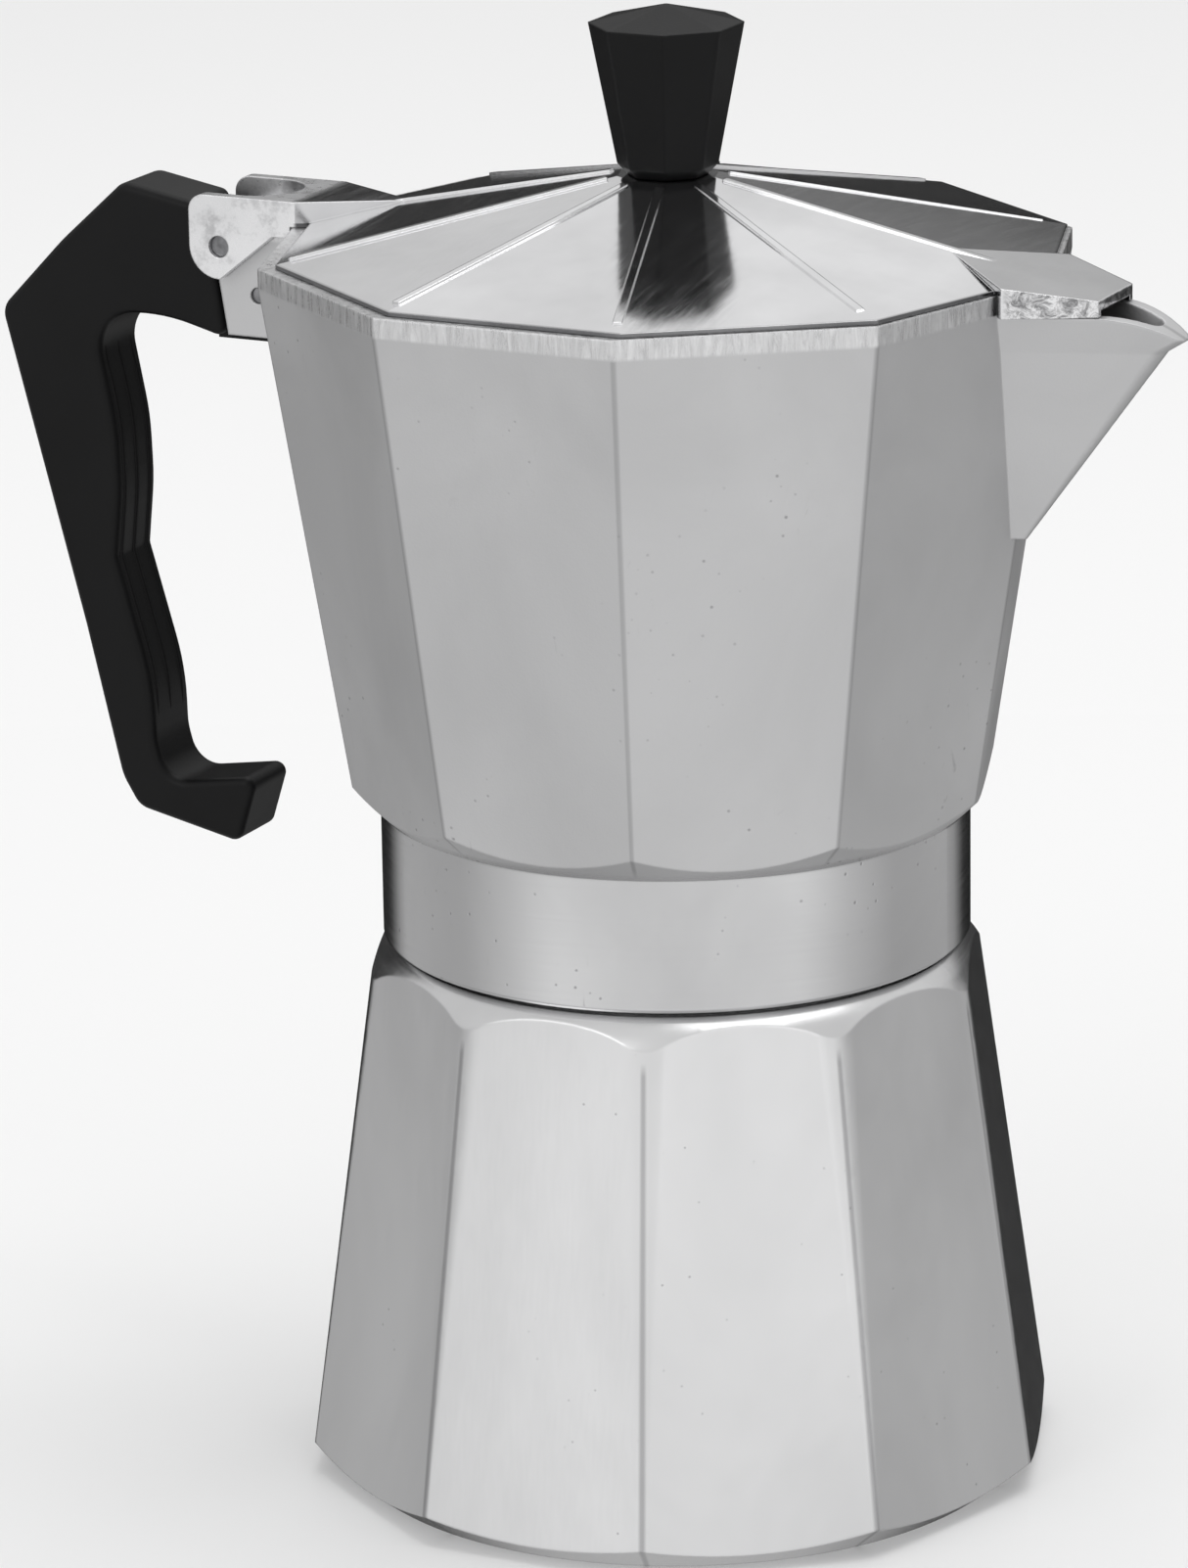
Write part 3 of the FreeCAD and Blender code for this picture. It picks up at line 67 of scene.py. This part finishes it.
class Shader:
    """A material being built: short calls for the nodes it is made of."""

    def __init__(self, name, edge_radius=0.0):
        self.material = bpy.data.materials.new(name)
        self.material.use_nodes = True
        self.tree = self.material.node_tree
        self.surface = self.tree.nodes["Principled BSDF"]
        source = self.node("ShaderNodeTexCoord")
        self.place = source.outputs["Object"]
        self.facing = source.outputs["Normal"]
        self.edge_radius = edge_radius
        self.normal = None

    def node(self, kind, **settings):
        """A new node with its settings."""
        item = self.tree.nodes.new(kind)
        for key, value in settings.items():
            setattr(item, key, value)
        return item

    def link(self, source, target):
        """A link between two sockets."""
        self.tree.links.new(source, target)

    def scaled(self, x, y, z):
        """The object's coordinates stretched along each axis, in cycles per metre."""
        item = self.node("ShaderNodeMapping")
        item.inputs["Scale"].default_value = (x, y, z)
        self.link(self.place, item.inputs["Vector"])
        return item.outputs["Vector"]

    def noise(self, vector, detail=4.0, roughness=0.55, distortion=0.0):
        """Noise from 0 to 1 over the given coordinates."""
        item = self.node("ShaderNodeTexNoise")
        item.inputs["Scale"].default_value = 1.0
        item.inputs["Detail"].default_value = detail
        item.inputs["Roughness"].default_value = roughness
        item.inputs["Distortion"].default_value = distortion
        self.link(vector, item.inputs["Vector"])
        return item.outputs["Fac"]

    def cells(self, vector):
        """Distance to the nearest of many scattered points."""
        item = self.node("ShaderNodeTexVoronoi")
        item.inputs["Scale"].default_value = 1.0
        self.link(vector, item.inputs["Vector"])
        return item.outputs["Distance"]

    def remap(self, value, low, high, out_low=0.0, out_high=1.0):
        """A value mapped from one range to another, and held inside it."""
        item = self.node("ShaderNodeMapRange")
        item.inputs["From Min"].default_value = low
        item.inputs["From Max"].default_value = high
        item.inputs["To Min"].default_value = out_low
        item.inputs["To Max"].default_value = out_high
        self.link(value, item.inputs["Value"])
        return item.outputs["Result"]

    def math(self, operation, first, second=0.0):
        """The result of an operation on one or two values; the second may be a plain number."""
        item = self.node("ShaderNodeMath", operation=operation)
        for socket, value in zip(item.inputs, (first, second)):
            if isinstance(value, (int, float)):
                socket.default_value = value
            else:
                self.link(value, socket)
        return item.outputs["Value"]

    def axis(self, name, vector=None):
        """One coordinate of the point on the object, in metres, or of another vector."""
        item = self.node("ShaderNodeSeparateXYZ")
        self.link(vector or self.place, item.inputs["Vector"])
        return item.outputs[name]

    def facet_edges(self, turn, radius, width):
        """1 along the corners of a ten-sided body turned by some degrees, fading to 0 at the width."""
        angle = self.math("ARCTAN2", self.axis("Y"), self.axis("X"))
        step = math.radians(360 / FACETS)
        faces = self.math("DIVIDE", self.math("SUBTRACT", angle, math.radians(turn)), step)
        nearest = self.math("SUBTRACT", faces, self.math("ROUND", faces))
        distance = self.math("MULTIPLY", self.math("ABSOLUTE", nearest), step * radius)
        return self.remap(distance, width * SOLID_SHARE, width, 1.0, 0.0)

    def between(self, value, low, high, soft):
        """1 where the value lies between low and high, with soft ends."""
        rise = self.remap(value, low - soft, low + soft)
        fall = self.remap(value, high - soft, high + soft, 1.0, 0.0)
        return self.math("MULTIPLY", rise, fall)

    def blend(self, factor, first, second):
        """A value that goes from first to second with the factor."""
        item = self.node("ShaderNodeMix", data_type="FLOAT")
        self.link(factor, item.inputs["Factor"])
        for socket, value in ((item.inputs["A"], first), (item.inputs["B"], second)):
            if isinstance(value, (int, float)):
                socket.default_value = value
            else:
                self.link(value, socket)
        return item.outputs["Result"]

    def colour(self, factor, dark, light):
        """The base colour, from dark to light with the factor."""
        ramp = self.node("ShaderNodeValToRGB")
        ramp.color_ramp.elements[0].color = (*dark, 1.0)
        ramp.color_ramp.elements[1].color = (*light, 1.0)
        self.link(factor, ramp.inputs["Fac"])
        self.link(ramp.outputs["Color"], self.surface.inputs["Base Color"])

    def roughness(self, value):
        """The surface's roughness."""
        self.link(value, self.surface.inputs["Roughness"])

    def bump(self, height, depth):
        """Relief of the given depth in metres, laid over what is there already."""
        item = self.node("ShaderNodeBump")
        item.inputs["Strength"].default_value = 1.0
        item.inputs["Distance"].default_value = depth
        self.link(height, item.inputs["Height"])
        if self.normal is None and self.edge_radius > 0:
            edge = self.node("ShaderNodeBevel", samples=6)
            edge.inputs["Radius"].default_value = self.edge_radius
            self.normal = edge.outputs["Normal"]
        if self.normal is not None:
            self.link(self.normal, item.inputs["Normal"])
        self.normal = item.outputs["Normal"]
        self.link(self.normal, self.surface.inputs["Normal"])


def metal(name, edge_radius=0.0, anisotropic=0.0):
    """A material with a fully metallic surface."""
    shader = Shader(name, edge_radius)
    shader.surface.inputs["Metallic"].default_value = 1.0
    shader.surface.inputs["Anisotropic"].default_value = anisotropic
    return shader


# ---------------------------------------------------------------- materials

RIM_LOW = 0.1814
RIM_TOP = 0.1845
SKIRT_TOP = 0.1022
SHOULDER_LOW = 0.0735
NECK_LOW = 0.0795
NECK_TOP = 0.1200
LID_EDGE_TOP = 0.18505
LID_FACE_REACH = 0.0570
HOUSING_START = -0.0560
TAB_START = 0.0575


def cast_collector():
    """Blasted cast aluminium with small pits, a scraped rim band, a smooth skirt and painted shade lines
    along the facet corners.
    """
    shader = metal("cast_aluminium", edge_radius=0.0005)
    height = shader.axis("Z")
    rim = shader.between(height, RIM_LOW, RIM_TOP, 0.25 * MM)
    skirt = shader.remap(height, SKIRT_TOP, SKIRT_TOP + 1 * MM, 1.0, 0.0)
    clouds = shader.noise(shader.scaled(28, 28, 22), detail=5.0, distortion=0.6)
    grain = shader.noise(shader.scaled(2600, 2600, 2600), detail=3.0)
    scrapes = shader.noise(shader.scaled(1100, 1100, 160), detail=6.0, roughness=0.75, distortion=0.8)
    # painted shade: thin dark lines along the facet corners above the skirt
    corners = shader.math("MULTIPLY", shader.facet_edges(0.0, COLLECTOR_RADIUS, 0.5 * MM),
                          shader.remap(height, SKIRT_TOP, SKIRT_TOP + 2 * MM))
    rings = shader.noise(shader.scaled(8, 8, 2400), detail=3.0)
    scuffs = shader.noise(shader.scaled(420, 420, 120), detail=6.0, roughness=0.75, distortion=1.2)
    scuff_mask = shader.math("MULTIPLY", shader.remap(scuffs, 0.63, 0.74),
                             shader.remap(clouds, 0.50, 0.62))
    pits = shader.cells(shader.scaled(430, 430, 430))
    pit_mask = shader.math("MULTIPLY", shader.remap(pits, 0.05, 0.13, 1.0, 0.0),
                           shader.remap(clouds, 0.52, 0.60))
    tone = shader.remap(clouds, 0.30, 0.70, 0.50, 0.70)
    tone = shader.math("SUBTRACT", tone, shader.math("MULTIPLY", scuff_mask, 0.35))
    tone = shader.math("SUBTRACT", tone, shader.math("MULTIPLY", pit_mask, 0.55))
    # the painted shade lines along the facet corners darken the tone
    tone = shader.math("SUBTRACT", tone, shader.math("MULTIPLY", corners, 0.35))
    rim_tone = shader.remap(scrapes, 0.36, 0.64, 0.45, 1.0)
    tone = shader.blend(rim, tone, rim_tone)
    shader.colour(tone, (0.34, 0.34, 0.345), (0.76, 0.76, 0.765))
    body_rough = shader.remap(clouds, 0.3, 0.7, 0.50, 0.57)
    skirt_rough = shader.remap(rings, 0.3, 0.7, 0.15, 0.22)
    rough = shader.blend(skirt, body_rough, skirt_rough)
    rough = shader.blend(rim, rough, shader.remap(scrapes, 0.35, 0.65, 0.22, 0.42))
    shader.roughness(rough)
    relief = shader.blend(skirt, grain, rings)
    relief = shader.blend(rim, relief, shader.math("MULTIPLY", scrapes, 4.0))
    relief = shader.math("SUBTRACT", relief, shader.math("MULTIPLY", pit_mask, 2.5))
    shader.bump(relief, 0.00002)
    return shader.material


def polished_boiler():
    """Polished aluminium with soft brushing up the faces, turned rings on the shoulder, light wear and
    painted shade lines along the facet corners.
    """
    shader = metal("polished_aluminium", edge_radius=0.0006)
    height = shader.axis("Z")
    turned = shader.between(height, NECK_LOW, NECK_TOP, 0.6 * MM)
    clouds = shader.noise(shader.scaled(24, 24, 14), detail=4.0, distortion=0.4)
    brush = shader.noise(shader.scaled(1700, 1700, 60), detail=4.0, roughness=0.65)
    rings = shader.noise(shader.scaled(6, 6, 3200), detail=3.0)
    specks = shader.cells(shader.scaled(300, 300, 300))
    speck_mask = shader.math("MULTIPLY", shader.remap(specks, 0.03, 0.08, 1.0, 0.0),
                             shader.remap(clouds, 0.54, 0.60))
    # painted shade: thin dark lines along the facet corners below the shoulder
    corners = shader.math("MULTIPLY", shader.facet_edges(BOILER_TURN, BOILER_RADIUS, 0.6 * MM),
                          shader.remap(height, SHOULDER_LOW, SHOULDER_LOW + 2 * MM, 1.0, 0.0))
    tone = shader.remap(clouds, 0.3, 0.7, 0.55, 0.85)
    tone = shader.math("SUBTRACT", tone, shader.math("MULTIPLY", speck_mask, 0.5))
    # the painted shade lines along the facet corners darken the tone
    tone = shader.math("SUBTRACT", tone, shader.math("MULTIPLY", corners, 0.55))
    shader.colour(tone, (0.38, 0.38, 0.385), (0.82, 0.82, 0.825))
    lines = shader.blend(turned, brush, rings)
    shader.roughness(shader.remap(lines, 0.3, 0.7, 0.20, 0.27))
    shader.bump(lines, 0.000005)
    return shader.material


def mirror_lid():
    """Bright aluminium with hairline scratches, a dull hinge housing, filed sides on the spout tab and
    painted shade on the lid's lower edge and underside.
    """
    shader = metal("bright_aluminium", edge_radius=0.0003)
    across = shader.axis("X")
    housing = shader.remap(across, HOUSING_START - 2 * MM, HOUSING_START, 1.0, 0.0)
    # painted shade: the round part of the lid below its edge top is darkened to show the shaded gap over
    # the collector's rim
    under_dome = shader.remap(shader.axis("Z"), LID_EDGE_TOP - 0.15 * MM, LID_EDGE_TOP, 1.0, 0.0)
    painted_edge_shade = shader.math("MULTIPLY", under_dome,
                              shader.between(across, -LID_FACE_REACH, LID_FACE_REACH, 0.3 * MM))
    clouds = shader.noise(shader.scaled(30, 30, 30), detail=4.0)
    hairlines = shader.noise(shader.scaled(900, 70, 300), detail=5.0, roughness=0.75)
    grain = shader.noise(shader.scaled(1500, 1500, 1500), detail=3.0)
    tone = shader.remap(clouds, 0.3, 0.7, 0.7, 1.0)
    grime = shader.noise(shader.scaled(330, 330, 330), detail=5.0, roughness=0.7)
    tone = shader.math("SUBTRACT", tone,
                       shader.math("MULTIPLY", housing, shader.remap(grime, 0.50, 0.68, 0.0, 0.30)))
    # painted shade on the lid's lower edge and underside
    tone = shader.math("SUBTRACT", tone, shader.math("MULTIPLY", painted_edge_shade, 0.85))
    upright = shader.remap(shader.axis("Z", shader.facing), 0.3, 0.5, 1.0, 0.0)
    tab_side = shader.math("MULTIPLY", upright, shader.remap(across, TAB_START, TAB_START + 1 * MM))
    filing = shader.noise(shader.scaled(520, 520, 620), detail=6.0, roughness=0.75, distortion=1.0)
    tone = shader.math("SUBTRACT", tone,
                       shader.math("MULTIPLY", tab_side, shader.remap(filing, 0.42, 0.60, 0.0, 0.8)))
    shader.colour(tone, (0.16, 0.16, 0.165), (0.90, 0.90, 0.91))
    bright = shader.remap(hairlines, 0.35, 0.70, 0.07, 0.15)
    shader.roughness(shader.blend(housing, bright, shader.remap(grime, 0.4, 0.6, 0.26, 0.36)))
    relief = shader.blend(housing, hairlines, shader.math("MULTIPLY", grain, 3.0))
    shader.bump(relief, 0.000004)
    return shader.material


def inner_metal():
    """Pressed or turned aluminium inside the pot."""
    shader = metal("inner_aluminium", edge_radius=0.0002)
    clouds = shader.noise(shader.scaled(60, 60, 60), detail=5.0)
    rings = shader.noise(shader.scaled(40, 40, 2600), detail=3.0)
    shader.colour(shader.remap(clouds, 0.3, 0.7), (0.50, 0.50, 0.51), (0.78, 0.78, 0.79))
    shader.roughness(shader.remap(rings, 0.3, 0.7, 0.28, 0.42))
    shader.bump(rings, 0.00001)
    return shader.material


def brass():
    """Turned brass with a little tarnish."""
    shader = metal("turned_brass", edge_radius=0.0002)
    clouds = shader.noise(shader.scaled(240, 240, 240), detail=5.0)
    rings = shader.noise(shader.scaled(60, 4200, 60), detail=3.0)
    shader.colour(shader.remap(clouds, 0.35, 0.65), (0.42, 0.30, 0.14), (0.80, 0.62, 0.32))
    shader.roughness(shader.remap(rings, 0.3, 0.7, 0.18, 0.32))
    shader.bump(rings, 0.000008)
    return shader.material


def steel():
    """Bare drawn steel."""
    shader = metal("bare_steel", edge_radius=0.0002)
    clouds = shader.noise(shader.scaled(400, 400, 400), detail=5.0)
    shader.colour(shader.remap(clouds, 0.35, 0.65), (0.12, 0.12, 0.125), (0.30, 0.30, 0.31))
    shader.roughness(shader.remap(clouds, 0.3, 0.7, 0.25, 0.40))
    shader.bump(clouds, 0.000008)
    return shader.material


def rubber():
    """Pale food-grade rubber with a dull bloom."""
    shader = Shader("pale_rubber", edge_radius=0.0003)
    clouds = shader.noise(shader.scaled(180, 180, 180), detail=5.0)
    shader.colour(shader.remap(clouds, 0.3, 0.7), (0.66, 0.63, 0.57), (0.80, 0.78, 0.73))
    shader.roughness(shader.remap(clouds, 0.3, 0.7, 0.55, 0.75))
    shader.bump(clouds, 0.00003)
    return shader.material


def moulded_plastic():
    """Black moulded plastic with a fine texture and a few dust specks, its gloss varying a little in soft
    patches.
    """
    shader = Shader("black_plastic", edge_radius=0.0006)
    clouds = shader.noise(shader.scaled(45, 45, 45), detail=4.0)
    grain = shader.noise(shader.scaled(2200, 2200, 2200), detail=3.0)
    dust = shader.cells(shader.scaled(520, 520, 520))
    dust_mask = shader.math("MULTIPLY", shader.remap(dust, 0.03, 0.07, 1.0, 0.0),
                            shader.remap(clouds, 0.55, 0.62))
    tone = shader.math("ADD", shader.remap(clouds, 0.3, 0.7, 0.0, 0.5), dust_mask)
    shader.colour(tone, (0.003, 0.003, 0.0032), (0.008, 0.008, 0.0085))
    shader.roughness(shader.remap(clouds, 0.3, 0.7, 0.34, 0.44))
    shader.bump(grain, 0.00001)
    shader.surface.inputs["Specular IOR Level"].default_value = 0.16
    return shader.material


CAST = cast_collector()
POLISHED = polished_boiler()
BRIGHT = mirror_lid()
INNER = inner_metal()
BRASS = brass()
STEEL = steel()
RUBBER = rubber()
PLASTIC = moulded_plastic()

FINISHES = {
    "cast_body": CAST,
    "polished_body": POLISHED,
    "lid_metal": BRIGHT,
    "inner_metal": INNER,
    "valve_brass": BRASS,
    "steel_pin": STEEL,
    "seal_rubber": RUBBER,
    "grip_plastic": PLASTIC,
}
for entry in frame["record"]["subparts"]:
    mesh = nodes[entry["node"]].data
    mesh.materials.clear()
    mesh.materials.append(FINISHES[entry["material_slot"]])


# ---------------------------------------------------------------- moulded lines on the grip

BEAD_RADIUS = 0.55 * MM
BEAD_SINK = 0.25 * MM
BEAD_SIDES = 10
BEAD_STEPS = 60
BEAD_TAPER = 8  # the ends swell to full size over one part in eight of the length
PROBE_INSET = 3 * MM
LINE_FOOT = 16 * MM
LINE_HEAD = 24 * MM
LINE_INSET = 2.2 * MM
ACROSS = Vector((0, 1, 0))


def grip_surface(across, height):
    """The point on the finger side of the handle at that height, and the direction it faces."""
    start = Vector((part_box("handle")[1].x - PROBE_INSET, across, height))
    hit, place, normal, _ = nodes["handle"].ray_cast(start, Vector((-1, 0, 0)))
    return (place, normal) if hit else (None, None)


def grip_line(name, across, low_height, high_height):
    """A thin raised line down the finger side, tapering into the surface at both ends."""
    rings = []
    for step in range(BEAD_STEPS + 1):
        share = step / BEAD_STEPS
        place, normal = grip_surface(across, low_height + (high_height - low_height) * share)
        if place is None:
            continue
        swell = min(1.0, BEAD_TAPER * share, BEAD_TAPER * (1 - share)) ** 0.5
        centre = place - normal * (BEAD_SINK + BEAD_RADIUS * (1 - swell))
        out = normal.normalized()
        rings.append([centre + (ACROSS * math.cos(turn) + out * math.sin(turn)) * BEAD_RADIUS
                      for turn in (2 * math.pi * number / BEAD_SIDES for number in range(BEAD_SIDES))])
    vertices = [tuple(point) for ring in rings for point in ring]
    faces = [tuple(reversed(range(BEAD_SIDES)))]
    for ring in range(len(rings) - 1):
        for number in range(BEAD_SIDES):
            following = (number + 1) % BEAD_SIDES
            first = ring * BEAD_SIDES
            faces.append((first + number, first + following, first + BEAD_SIDES + following,
                          first + BEAD_SIDES + number))
    faces.append(tuple((len(rings) - 1) * BEAD_SIDES + number for number in range(BEAD_SIDES)))
    mesh = bpy.data.meshes.new(name)
    mesh.from_pydata(vertices, [], faces)
    mesh.shade_smooth()
    mesh.materials.append(PLASTIC)
    item = bpy.data.objects.new(name, mesh)
    bpy.context.scene.collection.objects.link(item)
    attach(item, "collector")


handle_low, handle_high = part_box("handle")
for line_name, line_across in (("grip_line_middle", 0.0),
                               ("grip_line_near", handle_low.y + LINE_INSET),
                               ("grip_line_far", handle_high.y - LINE_INSET)):
    grip_line(line_name, line_across, handle_low.z + LINE_FOOT, handle_high.z - LINE_HEAD)


# ---------------------------------------------------------------- valve spring


def closing_spring():
    """The valve's coil as a copy of the spring part with its own mesh, attached to the boiler in place of
    the original.
    """
    coil = nodes["valve_spring"].copy()
    coil.data = nodes["valve_spring"].data.copy()
    coil.name = "valve_coil"
    bpy.context.scene.collection.objects.link(coil)
    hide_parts("valve_spring")
    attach(coil, "boiler")
    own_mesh(coil)


closing_spring()


# ---------------------------------------------------------------- stage, light and camera

def plane(name, corners, material):
    """A flat four-cornered object."""
    mesh = bpy.data.meshes.new(name)
    mesh.from_pydata([tuple(corner) for corner in corners], [], [(0, 1, 2, 3)])
    mesh.materials.append(material)
    item = bpy.data.objects.new(name, mesh)
    bpy.context.scene.collection.objects.link(item)
    return item


def plain(name, colour, roughness):
    """A plain matt material for the stage."""
    material = bpy.data.materials.new(name)
    material.use_nodes = True
    surface = material.node_tree.nodes["Principled BSDF"]
    surface.inputs["Base Color"].default_value = (*colour, 1.0)
    surface.inputs["Roughness"].default_value = roughness
    return material


FLOOR_HALF = 6.0
floor = plane("floor", [(-FLOOR_HALF, -FLOOR_HALF, 0), (FLOOR_HALF, -FLOOR_HALF, 0),
                        (FLOOR_HALF, FLOOR_HALF, 0), (-FLOOR_HALF, FLOOR_HALF, 0)],
              plain("pale_floor", (0.86, 0.86, 0.86), 0.9))
floor.visible_glossy = False  # the metal reflects the studio only

VIEW_AZIMUTH = math.radians(25.529)
VIEW_ELEVATION = math.radians(16.411)
VIEW_ROLL = math.radians(0.707)
VIEW_DISTANCE = 1.075686
AIM_HEIGHT = 0.103471
LENS = 167.08
SHIFT_X = -0.052

BACK = Vector((math.sin(VIEW_AZIMUTH) * math.cos(VIEW_ELEVATION),
               -math.cos(VIEW_AZIMUTH) * math.cos(VIEW_ELEVATION), math.sin(VIEW_ELEVATION)))
LEVEL_RIGHT = Vector((math.cos(VIEW_AZIMUTH), math.sin(VIEW_AZIMUTH), 0.0))
LEVEL_UP = BACK.cross(LEVEL_RIGHT)
AWAY = Vector((-BACK.x, -BACK.y, 0.0)).normalized()


def make_camera():
    """The camera at the photograph's angle, turned by its slight roll."""
    data = bpy.data.cameras.new("camera")
    data.lens = LENS
    data.sensor_width = 36.0
    data.shift_x = SHIFT_X
    data.clip_start = 0.05
    data.clip_end = 50.0
    item = bpy.data.objects.new("camera", data)
    right = LEVEL_RIGHT * math.cos(VIEW_ROLL) - LEVEL_UP * math.sin(VIEW_ROLL)
    up = LEVEL_RIGHT * math.sin(VIEW_ROLL) + LEVEL_UP * math.cos(VIEW_ROLL)
    turn = Matrix((right, up, BACK)).transposed().to_4x4()
    item.matrix_world = Matrix.Translation(Vector((0, 0, AIM_HEIGHT)) + BACK * VIEW_DISTANCE) @ turn
    bpy.context.scene.collection.objects.link(item)
    bpy.context.scene.camera = item


def soft_light(name, place, target, width, height, power):
    """A large soft lamp aimed at a point."""
    data = bpy.data.lights.new(name, "AREA")
    data.shape = "RECTANGLE"
    data.size = width
    data.size_y = height
    data.energy = power
    item = bpy.data.objects.new(name, data)
    item.location = place
    item.rotation_mode = "QUATERNION"
    item.rotation_quaternion = (Vector(place) - Vector(target)).to_track_quat("Z", "Y")
    bpy.context.scene.collection.objects.link(item)


# Each pair is a direction, from 0 behind the object to 1 towards the camera, and its brightness.
ROUND_TONES = [
    (0.0, 0.01), (0.09, 0.02), (0.17, 0.55), (0.48, 0.50), (0.68, 0.72), (0.82, 1.00), (1.0, 0.90),
]
SKY_TONE = 0.80
SKY_START = 0.18
SKY_FULL = 0.42


def studio_world():
    """A pale studio: bright overhead and towards the camera, grey at the sides, dark behind the object."""
    world = bpy.data.worlds.new("studio")
    world.use_nodes = True
    tree = world.node_tree
    background = tree.nodes["Background"]
    place = tree.nodes.new("ShaderNodeTexCoord")
    facing = tree.nodes.new("ShaderNodeVectorMath")
    facing.operation = "DOT_PRODUCT"
    facing.inputs[1].default_value = -AWAY
    tree.links.new(place.outputs["Generated"], facing.inputs[0])
    around = tree.nodes.new("ShaderNodeMapRange")
    around.inputs["From Min"].default_value = -1.0
    tree.links.new(facing.outputs["Value"], around.inputs["Value"])
    ramp = tree.nodes.new("ShaderNodeValToRGB")
    while len(ramp.color_ramp.elements) < len(ROUND_TONES):
        ramp.color_ramp.elements.new(1.0)
    for element, (position, tone) in zip(ramp.color_ramp.elements, ROUND_TONES):
        element.position = position
        element.color = (tone, tone, tone, 1.0)
    tree.links.new(around.outputs["Result"], ramp.inputs["Fac"])
    height = tree.nodes.new("ShaderNodeSeparateXYZ")
    tree.links.new(place.outputs["Generated"], height.inputs["Vector"])
    rise = tree.nodes.new("ShaderNodeMapRange")
    rise.inputs["From Min"].default_value = SKY_START
    rise.inputs["From Max"].default_value = SKY_FULL
    tree.links.new(height.outputs["Z"], rise.inputs["Value"])
    sky = tree.nodes.new("ShaderNodeMix")
    sky.data_type = "RGBA"
    tree.links.new(rise.outputs["Result"], sky.inputs["Factor"])
    tree.links.new(ramp.outputs["Color"], sky.inputs["A"])
    sky.inputs["B"].default_value = (SKY_TONE, SKY_TONE, SKY_TONE, 1.0)
    tree.links.new(sky.outputs["Result"], background.inputs["Color"])
    bpy.context.scene.world = world


def dark_card(name, distance, low, high, half_width):
    """A dark board behind the object that only its reflections show."""
    centre = AWAY * distance
    side = LEVEL_RIGHT * half_width
    corners = [centre - side + Vector((0, 0, low)), centre + side + Vector((0, 0, low)),
               centre + side + Vector((0, 0, high)), centre - side + Vector((0, 0, high))]
    item = plane(name, corners, plain(name, (0.02, 0.02, 0.02), 0.9))
    item.visible_camera = False
    item.visible_diffuse = False
    item.visible_shadow = False
    item.visible_transmission = False


make_camera()
studio_world()
soft_light("key_light", (-0.6, -1.5, 1.3), (0, 0, 0.1), 1.2, 0.8, 4.0)
soft_light("fill_light", (1.6, -1.2, 0.6), (0, 0, 0.1), 0.5, 1.2, 1.2)
soft_light("top_light", (0.1, 0.3, 1.8), (0, 0, 0.15), 1.6, 1.2, 12.0)
dark_card("back_card", 0.40, 0.001, 0.275, 0.55)
bpy.context.scene.view_settings.view_transform = "Standard"
